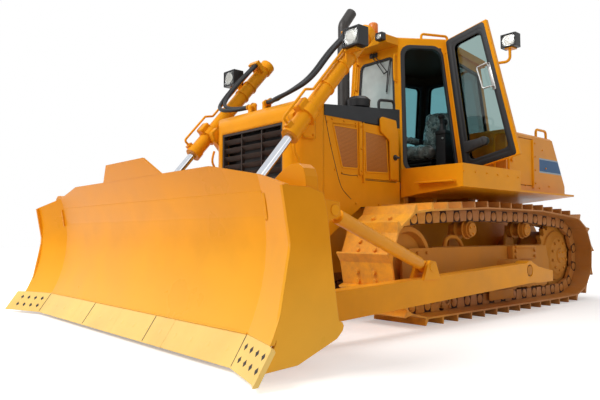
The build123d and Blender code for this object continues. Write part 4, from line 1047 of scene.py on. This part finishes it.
class DOZER_OT_cab_seals(bpy.types.Operator):
    """Black rubber round every cab window and doorway, with rounded corners"""
    bl_idname = "dozer.cab_seals"
    bl_label = "Cab seals"

    def execute(self, context):
        seals, corners_yellow = [], []
        for first, second, start, end in CAB_WINDOWS:
            corners, out = cab_frame(first, second, start, end, WINDOW_LOW, WINDOW_HIGH, -11.5)
            corners_yellow.append(ring(corners, 0.0005, 0.006, 0.001, 0.070, 0.0115, out))
            seals.append(ring(corners, 0.004, 0.030, 0.066, 0.045, 0.0155, out))
            back = cab_frame(first, second, start, end, WINDOW_LOW, WINDOW_HIGH, -WALL)[0]
            seals.append(ring(back, -0.012, 0.026, 0.012, 0.050, 0.006, -out))
        for first, second, start, end in ((0, 1, 55, 70), (4, 5, 70, 55)):
            corners, out = cab_frame(first, second, start, end, SHUT_LOW, SHUT_HIGH, -46)
            seals.append(ring(corners, 0.0005, 0.012, 0.001, 0.098, 0.0465, out))
            lap = [34 if side == 55 else 12 for side in (start, end)]
            outer = cab_frame(first, second, start - lap[0], end - lap[1], SHUT_LOW - 6,
                              SHUT_HIGH + 26, 0.5)[0]
            inner = cab_frame(first, second, start + 12, end + 12, SHUT_LOW + 12, SHUT_HIGH - 12,
                              0.5)[0]
            seals.append(band(outer, inner, 0.110, 0.098, 0.0015, out))
        settle(joined(seals), "cab_window_seals", "machine", "gasket")
        settle(joined(corners_yellow), "cab_window_corners", "machine", "yellow")
        self.doors()
        return {"FINISHED"}

    def doors(self):
        """Black inner frame and outer window rubber of each door, on the open and shut door."""
        inner, out = cab_frame(0, 1, 12, 34, DOOR_LOW, DOOR_HIGH, 6)
        hinge_side = (inner[1] - inner[0]).normalized()
        inner = [inner[0] + hinge_side * 0.026, inner[1], inner[2], inner[3] + hinge_side * 0.026]
        outer, pane = [cab_frame(0, 1, 87, 115, DOOR_LOW + 80, DOOR_HIGH - 77, face)[0]
                       for face in (48, 6)]
        frame_ring = ring(inner, 0.006, 0.070, 0.030, 0.050, 0.0025, -out)
        lip = ring(pane, -0.016, 0.018, 0.055, 0.050, 0.0030, -out)
        corner = ring(pane, 0.0005, 0.008, 0.001, 0.055, 0.016, out)
        outside = ring(outer, -0.012, 0.022, 0.020, 0.060, 0.006, out)
        self.fit_doors([frame_ring, lip, corner, outside], "cab_door_seal", "gasket")
        grip = [cab_point(0, 1, along, z, -out) for along, z, out in
                ((92, 2385, -8), (96, 2385, 44), (208, 2380, 48), (196, 2150, 48), (104, 2140, 44),
                 (98, 2140, -8))]
        plate = panel([cab_point(0, 1, along, z, 6) for along, z in
                       ((82, 2110), (122, 2110), (118, 2400), (82, 2400))], 0.012, 0.008, -out)
        self.fit_doors([bent_bar(grip, 0.0085, 0.035), plate], "cab_door_grip", "zinc")
        box = panel([cab_point(0, 1, along, z, 4) for along, z in
                     ((-330, 1600), (-112, 1580), (-112, 1700), (-330, 1680))], 0.020, 0.062, -out)
        drum = rod(cab_point(0, 1, -336, 1640, 4), cab_point(0, 1, -336, 1640, -50), 0.046, 28)
        self.fit_doors([box, drum], "cab_door_pocket", "plastic")

    def fit_doors(self, parts, name, finish):
        """Put a piece made on the shut left door on both doors, the left one standing open."""
        piece = joined(parts)
        other = mirrored(piece)
        piece.data.transform(door_opened())
        settle(piece, name + "_left", "cab_door_left_body", finish)
        settle(other, name + "_right", "cab_door_right_body", finish)


def both_sides(rows):
    """Rows of a table whose points and directions have Y, with each row's mirror image."""
    for row in rows:
        for side in (1, -1):
            yield side, row


class DOZER_OT_engine_sides(bpy.types.Operator):
    """Perforated sheets, hinges, latches and raised channel on the engine's sides"""
    bl_idname = "dozer.engine_sides"
    bl_label = "Engine sides"

    def mesh_sheet(self, corners, y):
        sheet = rounded_sheet([at(s, y, z) for s, z in corners], 0.012, 3)
        apply_modifier(sheet, "SOLIDIFY", thickness=0.003, offset=0.0)
        return apply_modifier(sheet, "BEVEL", width=0.0008, segments=1, limit_method="ANGLE")

    def execute(self, context):
        trapezoid = [(3212, 1722), (2910, 1722), (2905, 1364), (3105, 1360)]
        oblong = [(2799, 1712), (2502, 1702), (2482, 1351), (2789, 1340)]
        for side, word in ((1, "left"), (-1, "right")):
            door = "engine_door_" + word + "_body"
            out = (0, side, 0)
            for outline, name, body in ((trapezoid, "side", "machine"), (oblong, "door", door)):
                sheet = panel([at(s, side * 599.9, z) for s, z in outline], 0.010, 0.0025, out)
                settle(sheet, name + "_air_mesh_" + word, body, "mesh")
                rim = [at(s, side * 600.2, z) for s, z in outline]
                settle(ring(rim, -0.012, 0.003, 0.016, 0.008, 0.004, out),
                       name + "_mesh_rim_" + word, body, "yellow")
            self.channel(side, word, door)
            self.latch(side, word, door)
            self.hinge(side, word, door)
            self.seams(side, word)
        return {"FINISHED"}

    def channel(self, side, word, door):
        """Raised folded channel at the door's rear end, standing up past its top."""
        outline = [(2350, 1284), (2466, 1284), (2478, 1660), (2606, 1735), (2614, 1856),
                   (2584, 1880), (2377, 1868), (2350, 1700)]
        face = panel([at(s, side * 608, z) for s, z in outline], 0.016, 0.020, (0, side, 0))
        foot = [at(s, side * 600, z) for s, z in ((2360, 1290), (2460, 1290), (2470, 1780),
                                                  (2360, 1780))]
        foot = panel(foot, 0.010, 0.010, (0, side, 0))
        settle(joined([face, foot]), "door_channel_" + word, door, "yellow")

    def latch(self, side, word, door):
        middle = at(2405, side * 627, 1500)
        out = Vector((0, side, 0))
        parts = [rod(middle - out * 0.002, middle + out * 0.012, 0.028, 24),
                 rod(middle + out * 0.010, middle + out * 0.028, 0.016, 20)]
        grip = block(middle + Vector((-0.034, -0.007, -0.010)) + out * 0.030,
                     middle + Vector((0.034, 0.007, 0.010)) + out * 0.030, 0.005)
        settle(joined(parts + [grip]), "door_latch_" + word, door, "plastic")

    def hinge(self, side, word, door):
        """Knuckles on the door's hinge bar, and the folded post beside them."""
        knuckles = []
        for z in (1300, 1345, 1480, 1525, 1700, 1745):
            x = at(2832, 0, 0).x
            knuckles.append(rod((x, side * 0.6087, z / 1000), (x, side * 0.6087, z / 1000 + 0.038),
                                0.0116, 24, 0.002))
        settle(joined(knuckles), "door_hinge_" + word, door, "yellow")
        post = [at(s, side * 600, z) for s, z in ((2852, 1300), (2894, 1300), (2894, 1788),
                                                  (2852, 1788))]
        settle(panel(post, 0.006, 0.017, (0, side, 0)), "door_post_" + word, "machine", "yellow")

    def seams(self, side, word):
        """Dark joint lines of the side panel, the nose's strap and the skirt under the hood."""
        lines = [[(3318, 1798), (3270, 1600), (3209, 1412), (3135, 1196), (3075, 1130),
                  (2995, 1077)],
                 [(2905, 1300), (3000, 1285), (3120, 1300)],
                 [(2836, 1262), (2600, 1262), (2352, 1262)]]
        joints = [tube("seam", [at(s, side * 600.2, z) for s, z in line], 0.0028, 1)[0]
                  for line in lines]
        settle(joined(joints), "panel_seams_" + word, "machine", "gasket")
        strap = [at(s, side * y, z) for s, y, z in ((3668, 608, 1575), (3690, 610, 1510),
                                                    (3686, 610, 1450), (3640, 610, 1390),
                                                    (3620, 610, 1340), (3616, 606, 1300))]
        settle(tube("strap", strap, 0.011, 3)[0], "nose_strap_" + word, "machine", "yellow")
        skirt = [at(s, side * 590, z) for s, z in ((2330, 1750), (2890, 1750), (2890, 1806),
                                                   (2330, 1806))]
        settle(panel(skirt, 0.004, 0.003, (0, side, 0)), "hood_skirt_" + word, "machine", "slate")


# Seat pads: lower and upper corner, with heights above the cab's floor, then lean and taper
CUSHION_PAD = ((778, -240, 305), (1272, 240, 424), 0.0, 0.0)
BACK_PAD = ((772, -232, 392), (876, 232, 905), 0.080, 0.22)
ARM_PADS = [((815, y - 34, 542), (1136, y + 34, 600), 0.0, 0.0) for y in (293, -293)]
PAD_CORNER = 0.042
AIR_PRESSURE = 4.0
SIM_FRAMES = 20
SUSPENSION_RUNGS = 6
CONSOLE_MIDDLE = 407


def above_floor(node, ahead, y, rise):
    """Point at a height above the underside of a node that stands on the cab's floor."""
    return at(ahead, y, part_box(node)[0][2] * 1000 + rise)


class DOZER_OT_seat(bpy.types.Operator):
    """Sprung seat with padded cushion, back and arms under a creased clear wrap"""
    bl_idname = "dozer.seat"
    bl_label = "Seat"

    def pad(self, low, high, lean, taper):
        """Padded block between two corners, leaning back and narrowing with height."""
        low, high = above_floor("seat", *low), above_floor("seat", *high)
        piece = block(low, high, PAD_CORNER, 4)
        for vertex in piece.data.vertices:
            share = (vertex.co.z - low.z) / (high.z - low.z)
            vertex.co.x -= share * lean
            vertex.co.y *= 1 - share * share * taper
        apply_modifier(piece, "REMESH", mode="VOXEL", voxel_size=0.010)
        self.puff(piece)
        return apply_modifier(piece, "SUBSURF", levels=1, render_levels=1)

    def puff(self, piece, furthest=0.016):
        """Fill the cover with air for a short while, with a limit to how far a point moves."""
        before = [vertex.co.copy() for vertex in piece.data.vertices]
        cloth = piece.modifiers.new("cover", "CLOTH")
        cloth.settings.use_pressure = True
        cloth.settings.uniform_pressure_force = AIR_PRESSURE
        cloth.settings.effector_weights.gravity = 0.0
        for frame_number in range(1, SIM_FRAMES + 1):
            bpy.context.scene.frame_set(frame_number)
        bpy.context.view_layer.objects.active = piece
        bpy.ops.object.modifier_apply(modifier=cloth.name)
        bpy.context.scene.frame_set(1)
        for vertex, start in zip(piece.data.vertices, before):
            move = vertex.co - start
            if move.length > furthest:
                vertex.co = start + move.normalized() * furthest

    def wrap(self, pads):
        """Wrap drawn loosely over the pads, with sharp creases."""
        film = joined(pads)
        apply_modifier(film, "REMESH", mode="VOXEL", voxel_size=0.011)
        creases = bpy.data.textures.new("creases", "MUSGRAVE")
        creases.musgrave_type = "RIDGED_MULTIFRACTAL"
        creases.noise_scale = 0.11
        return apply_modifier(film, "DISPLACE", texture=creases, strength=0.014, mid_level=-0.15)

    def base(self):
        """Folded rubber boot of the suspension, its foot, and the arms' posts."""
        parts = []
        for k in range(SUSPENSION_RUNGS):
            fold, rise = 8 * (k % 2), 40 + 42 * k
            parts.append(block(above_floor("seat", 820 - fold, -180 - fold, rise),
                               above_floor("seat", 1200 + fold, 180 + fold, rise + 38), 0.014, 3))
        parts.append(block(above_floor("seat", 790, -200, 0), above_floor("seat", 1230, 200, 42),
                           0.010))
        for y in (240, -240):
            parts.append(block(above_floor("seat", 800, y - 16, 400),
                               above_floor("seat", 860, y + 16, 590), 0.008))
        settle(joined(parts), "seat_base", "machine", "plastic")

    def execute(self, context):
        self.base()
        cushion, back = self.pad(*CUSHION_PAD), self.pad(*BACK_PAD)
        arms = [self.pad(*pad) for pad in ARM_PADS]
        loose = []
        for piece in (cushion, back, arms[1]):
            copy = piece.copy()
            copy.data = piece.data.copy()
            context.collection.objects.link(copy)
            loose.append(copy)
        settle(cushion, "seat_cushion", "machine", "cloth")
        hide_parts("seat")
        settle(back, "seat_back", "machine", "cloth")
        settle(joined(arms), "seat_arms", "machine", "cloth")
        settle(self.wrap(loose), "seat_wrap", "machine", "film", 3.0)
        self.consoles()
        return {"FINISHED"}

    def consoles(self):
        """Rounded caps and grips on the two consoles, and the locker behind the left one."""
        caps, grips = [], []
        for side in (1, -1):
            y = side * CONSOLE_MIDDLE
            caps.append(block(above_floor("consoles", 1060, y - 72, 512),
                              above_floor("consoles", 1350, y + 72, 566), 0.018, 3))
            gaiter = primitive("cone", vertices=24, radius1=0.052, radius2=0.020, depth=0.090,
                               location=above_floor("consoles", 1300, y, 606))
            set_down(gaiter)
            grip = rod(above_floor("consoles", 1300, y, 640),
                       above_floor("consoles", 1312, y, 720), 0.027, 24, 0.010)
            knob = primitive("uv_sphere", segments=24, ring_count=12, radius=0.040,
                             location=above_floor("consoles", 1314, y, 720))
            knob.scale = (1.1, 0.9, 0.75)
            set_down(knob)
            grips += [gaiter, grip, knob]
        settle(joined(caps), "console_caps", "machine", "plastic")
        settle(joined(grips), "console_grips", "machine", "plastic")
        locker = block(above_floor("consoles", 700, 350, 40),
                       above_floor("consoles", 1062, 466, 505), 0.014, 3)
        settle(locker, "console_locker", "machine", "plastic")
        button = rod(above_floor("consoles", 1342, 440, 470),
                     above_floor("consoles", 1352, 440, 470), 0.012, 16)
        settle(button, "console_switch", "machine", "zinc")


class DOZER_OT_wipers(bpy.types.Operator):
    """Two-arm wiper on the windshield"""
    bl_idname = "dozer.wipers"
    bl_label = "Wipers"

    def front_point(self, y, z, out):
        return cab_point(5, 0, y + cab_corners(z)[0][1], z, out)

    def execute(self, context):
        foot = rod(self.front_point(-55, 2752, 1), self.front_point(-55, 2752, 34), 0.026, 20)
        motor = block(self.front_point(-95, 2728, 1), self.front_point(15, 2778, 20), 0.006)
        arms = [bent_bar([self.front_point(y, 2752, 26), self.front_point(y + 40, 2700, 32),
                          self.front_point(y + 185, 2525 + y / 3, 26)], 0.0055, 0.02, 2)
                for y in (-55, -12)]
        link = rod(self.front_point(128, 2510, 26), self.front_point(182, 2524, 26), 0.007, 12)
        settle(joined([foot, motor, link] + arms), "windshield_wiper_arms", "machine", "plastic")
        back = bent_bar([self.front_point(206, 2650, 18), self.front_point(182, 2500, 24),
                         self.front_point(160, 2300, 18)], 0.006, 0.03, 2)
        lip = bent_bar([self.front_point(210, 2668, 4), self.front_point(158, 2282, 4)],
                       0.005, 0.02, 2)
        settle(joined([back, lip]), "windshield_wiper_blade", "machine", "gasket")
        for side, word in ((1, "left"), (-1, "right")):
            points = [self.front_point(side * y, z, out) for y, z, out in
                      ((275, 2690, -6), (275, 2690, 34), (277, 2600, 40), (283, 2460, 40),
                       (288, 2400, 34), (288, 2392, -6))]
            grip = bent_bar(points, 0.011, 0.035, 3)
            settle(grip, "windshield_grip_" + word, "machine", "yellow")
        return {"FINISHED"}


# Undersides: line of a lifting lug on the track frame, lower and upper corners of its brackets and
# guard, discs of the final drive's housing as radius, near and far face, and a push arm's outer face
LIFTING_LUG = [(2150, 630), (2128, 705), (2070, 738), (1960, 735), (1890, 690), (1850, 632)]
FRAME_BLOCKS = [((742, 1128, 500), (1232, 1192, 640)), ((1150, 1128, 108), (1607, 1141, 205)),
                ((790, 1150, 620), (1200, 1212, 646))]
CASE_DISCS = [(0.455, 640, 648), (0.330, 648, 668), (0.200, 668, 700)]
ARM_FACE = 1409.5


class DOZER_OT_undersides(bpy.types.Operator):
    """Plugs, guards, brackets and lifting lugs along the track frames, and steps on the deck"""
    bl_idname = "dozer.undersides"
    bl_label = "Undersides"

    def execute(self, context):
        under, steps, plugs, rims = [], [], [], []
        for side in (1, -1):
            under.append(bent_bar([at(s, side * 1000, z) for s, z in LIFTING_LUG], 0.020, 0.05, 4))
            under += [side_block(low, high, side, 0.010, 3) for low, high in FRAME_BLOCKS]
            under += [rod(at(0, side * near, 515), at(0, side * far, 515), radius, 48)
                      for radius, near, far in CASE_DISCS]
            for group, reach, radius in ((plugs, 1431, 0.048), (rims, 1416, 0.0565)):
                group.append(rod(at(1353, side * ARM_FACE, 408), at(1353, side * reach, 408),
                                 radius, 32))
            steps.append(side_block((2293.5, 825, 1236), (2366, 1236, 1252), side))
        for pieces, name, finish in ((under, "frame_brackets", "under"),
                                     (plugs, "trunnion_plugs", "under"),
                                     (rims, "trunnion_seals", "gasket"),
                                     (steps, "deck_steps", "yellow")):
            settle(joined(pieces), name, "machine", finish)
        bolts = [facing(at(s, side * 1192, z), (0, side, 0)) for side in (1, -1)
                 for s in (790, 1190) for z in (530, 590)]
        settle(copied(bolt_model(0.030), bolts), "bracket_bolts", "machine", "under")
        return {"FINISHED"}


# Bolt rows: body, size, first and last point as ahead, left, up, count, direction
BOLT_ROWS = [
    ("machine", 15, (3292, 600, 1745), (3200, 600, 1330), 3, (0, 1, 0)),
    ("machine", 15, (3230, 600, 1776), (2930, 600, 1776), 3, (0, 1, 0)),
    ("machine", 15, (2872, 617, 1750), (2872, 617, 1340), 3, (0, 1, 0)),
    ("machine", 15, (3110, 600, 1310), (2905, 600, 1290), 2, (0, 1, 0)),
    ("machine", 16, (2930, 600, 1040), (2620, 600, 1040), 2, (0, 1, 0)),
    ("machine", 18, (3490, 634, 1790), (3490, 634, 1600), 3, (0, 1, 0)),
    ("machine", 15, (2280, 1309, 1330), (1320, 1309, 1330), 6, (0, 1, 0)),
    ("machine", 16, (640, 1150, 1760), (640, 1150, 1320), 4, (0, 1, 0)),
    ("machine", 15, (1180, 1150, 1300), (560, 1150, 1270), 5, (0, 1, 0)),
    ("machine", 15, (470, 1150, 1700), (330, 1150, 1300), 3, (0, 1, 0)),
    ("machine", 24, (2600, 1128, 600), (2860, 1128, 600), 3, (0, 1, 0)),
    ("machine", 26, (520, 1128, 250), (2250, 1128, 250), 13, (0, 1, 0)),
    ("machine", 24, (2560, 1128, 370), (2900, 1128, 370), 4, (0, 1, 0)),
    ("machine", 20, (560, 700, 1400), (560, 1100, 1400), 4, (0, 0, 1)),
    ("machine", 16, (3360, 560, 1905), (3360, 60, 1905), 4, (0, 0, 1)),
]


# Rings of bolts on the hubs: ahead, up and left of the middle, radius, count, size, first angle
BOLT_RINGS = [
    (0, 515, 1091, 168, 10, 26, pi / 10),
    (0, 515, 1116, 52, 4, 16, pi / 4),
    (776, 808, 1116, 42, 3, 14, 0.4),
    (1846, 808, 1116, 42, 3, 14, 0.4),
]


class DOZER_OT_bolts(bpy.types.Operator):
    """Rows of hexagon bolts on panels, track frames, deck and hubs"""
    bl_idname = "dozer.bolts"
    bl_label = "Bolts"

    def execute(self, context):
        by_size = {}
        for side, (body, size, first, last, count, out) in both_sides(BOLT_ROWS):
            start, end = at(*first), at(*last)
            for k in range(count):
                point = start.lerp(end, k / max(1, count - 1))
                point.y *= side
                normal = (out[0], out[1] * side, out[2])
                by_size.setdefault((body, size), []).append(facing(point, normal, k * 0.7))
        for side in (1, -1):
            for s, z, y, radius, count, size, first in BOLT_RINGS:
                for k in range(count):
                    a = 2 * pi * k / count + first
                    point = at(s + radius * cos(a), side * y, z + radius * sin(a))
                    by_size.setdefault(("machine", size), []).append(facing(point, (0, side, 0)))
        for (body, size), places in by_size.items():
            finish = "under" if size > 20 else "yellow"
            settle(copied(bolt_model(size / 1000), places), f"bolts_{body}_{size}", body, finish)
        return {"FINISHED"}


# Lamp boxes that aren't a node of their own, as ahead, left and up in millimetres
REAR_LAMP = ((290, 650, 2985.3), (430, 840, 3150.3))
VISOR_LAMP = (247, 45, 2810, 2886, 62)
BEACON = (1990, 0)


class DOZER_OT_lamps(bpy.types.Operator):
    """Reflector, clear lens and black rim in each work lamp"""
    bl_idname = "dozer.lamps"
    bl_label = "Lamps"

    def fit_lamp(self, name, body, low, high, frame_width):
        """Lens and rim in the front of a lamp box with the given corners."""
        x = high.x
        corners = [Vector((x, low.y, low.z)), Vector((x, high.y, low.z)),
                   Vector((x, high.y, high.z)), Vector((x, low.y, high.z))]
        rim = ring(corners, 0.001, frame_width, 0.008, 0.016, 0.005, (1, 0, 0))
        settle(rim, name + "_rim", body, "lamp")
        middle = (low + high) / 2
        width, tall = high.y - low.y - 2 * frame_width, high.z - low.z - 2 * frame_width
        bowl = primitive("uv_sphere", segments=24, ring_count=12, radius=1,
                         location=(x - 0.011, middle.y, middle.z))
        bowl.scale = (0.010, width * 0.54, tall * 0.54)
        set_down(bowl)
        settle(bowl, name + "_reflector", body, "silver")
        glass = block((x - 0.004, low.y + frame_width * 0.9, low.z + frame_width * 0.9),
                      (x, high.y - frame_width * 0.9, high.z - frame_width * 0.9), 0.0015)
        settle(glass, name + "_lens", body, "lens")

    def execute(self, context):
        for word in ("left", "right"):
            low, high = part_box("barrel_lamp_" + word)
            self.fit_lamp("barrel_lamp_" + word, "lift_barrel_" + word + "_body", Vector(low),
                          Vector(high), 0.016)
        self.fit_lamp("rear_lamp", "machine", at(*REAR_LAMP[0]), at(*REAR_LAMP[1]), 0.016)
        middle, half, bottom, top, deep = VISOR_LAMP
        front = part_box("cab_lamps")[1][0]
        for side, word in ((1, "left"), (-1, "right")):
            low, high = at(0, side * middle - half, bottom), at(0, side * middle + half, top)
            low.x, high.x = front - deep / 1000, front
            self.fit_lamp("visor_lamp_" + word, "machine", low, high, 0.009)
        dome = primitive("uv_sphere", segments=28, ring_count=14, radius=0.0515,
                         location=at(*BEACON, 3081))
        dome.scale = (1, 1, 0.55)
        set_down(dome)
        skirt = rod(at(*BEACON, 2993), at(*BEACON, 3084), 0.0525, 28)
        settle(joined([dome, skirt]), "beacon_dome", "machine", "amber")
        return {"FINISHED"}


# The cutting edge's upper line and tip, and where the end bits start and how they sweep forward
EDGE_LINE = (4868.5, 0, 198)
EDGE_TIP = (4985, 0, 28)
BIT_START = 1.571
BIT_SWEEP = 0.129 / 0.367
EDGE_JOINT = 0.52
EDGE_BOLTS = 16
EDGE_BOLT_REACH = 1.46
BEAD_STEPS = 48


class DOZER_OT_blade_trim(bpy.types.Operator):
    """Weld beads on the blade and the bolts of its cutting edge"""
    bl_idname = "dozer.blade_trim"
    bl_label = "Blade trim"

    def execute(self, context):
        line, tip = at(*EDGE_LINE), at(*EDGE_TIP)
        slope = (tip - line).normalized()
        normal = Vector((-slope.z, 0, slope.x))
        slots, heads = [], []
        for k in range(EDGE_BOLTS):
            y = EDGE_BOLT_REACH * (2 * k / (EDGE_BOLTS - 1) - 1)
            point = line + Vector((0, y, 0)) + slope * 0.105
            heads.append(facing(point - normal * 0.002, normal))
        for side in (1, -1):
            for column in range(4):
                for row in range(2):
                    y = BIT_START + 0.075 + 0.092 * column
                    shift = BIT_SWEEP * (y - BIT_START)
                    point = line + Vector((shift, side * y, 0)) + slope * (0.062 + 0.078 * row)
                    out = (normal + Vector((0, -side * 0.25, 0))).normalized()
                    slots.append(facing(point - out * 0.002, out, 0.785))
        head = rod((0, 0, -0.002), (0, 0, 0.0025), 0.017, 20, 0.001)
        settle(copied(head, heads), "edge_bolts", "blade_group", "edge")
        # Dark squares at the end bits' bolts: painted shade of their square bolt holes
        slot = block((-0.015, -0.015, 0), (0.015, 0.015, 0.0032), 0.001)
        settle(copied(slot, slots), "bit_bolt_hole_shade", "blade_group", "cast")
        seams = []
        for y in (-BIT_START, -EDGE_JOINT, EDGE_JOINT, BIT_START):
            top = line + Vector((0, y, 0)) + slope * 0.006 + normal * 0.0005
            bottom = top + slope * 0.19 + Vector((0, 0.004 * (1 if y > 0 else -1), 0))
            seams.append(rod(top, bottom, 0.0028, 8, 0))
        settle(joined(seams), "edge_seams", "blade_group", "cast")
        steps = [Vector((line.x + 0.001, -1.57 + 3.14 * k / BEAD_STEPS,
                         line.z + 0.004 + 0.0015 * (k % 2))) for k in range(BEAD_STEPS + 1)]
        settle(tube("bead", steps, 0.006, 2)[0], "edge_weld", "blade_group", "blade")
        return {"FINISHED"}


STEPS = ["finishes", "stage", "hoses", "chains", "cab_seals", "seat", "wipers", "engine_sides",
         "undersides", "bolts", "lamps", "blade_trim"]
CLASSES = [DozerPaint, DozerView, DOZER_OT_finishes, DOZER_OT_stage, DOZER_OT_hoses,
           DOZER_OT_chains, DOZER_OT_cab_seals, DOZER_OT_seat, DOZER_OT_wipers,
           DOZER_OT_engine_sides, DOZER_OT_undersides, DOZER_OT_bolts, DOZER_OT_lamps,
           DOZER_OT_blade_trim]


class DOZER_PT_panel(bpy.types.Panel):
    bl_label = "Dozer"
    bl_idname = "DOZER_PT_panel"
    bl_space_type = "VIEW_3D"
    bl_region_type = "UI"
    bl_category = "Dozer"

    def draw(self, context):
        for group in (context.scene.dozer_paint, context.scene.dozer_view):
            box = self.layout.box()
            for name in group.__annotations__:
                box.prop(group, name)
        for step in STEPS:
            self.layout.operator("dozer." + step)


def register():
    for item in CLASSES + [DOZER_PT_panel]:
        bpy.utils.register_class(item)
    bpy.types.Scene.dozer_paint = PointerProperty(type=DozerPaint)
    bpy.types.Scene.dozer_view = PointerProperty(type=DozerView)


def unregister():
    del bpy.types.Scene.dozer_view
    del bpy.types.Scene.dozer_paint
    for item in reversed(CLASSES + [DOZER_PT_panel]):
        bpy.utils.unregister_class(item)


def main():
    register()
    for step in STEPS:
        bpy.ops.object.select_all(action="DESELECT")
        getattr(bpy.ops.dozer, step)()


if __name__ == "__main__":
    main()
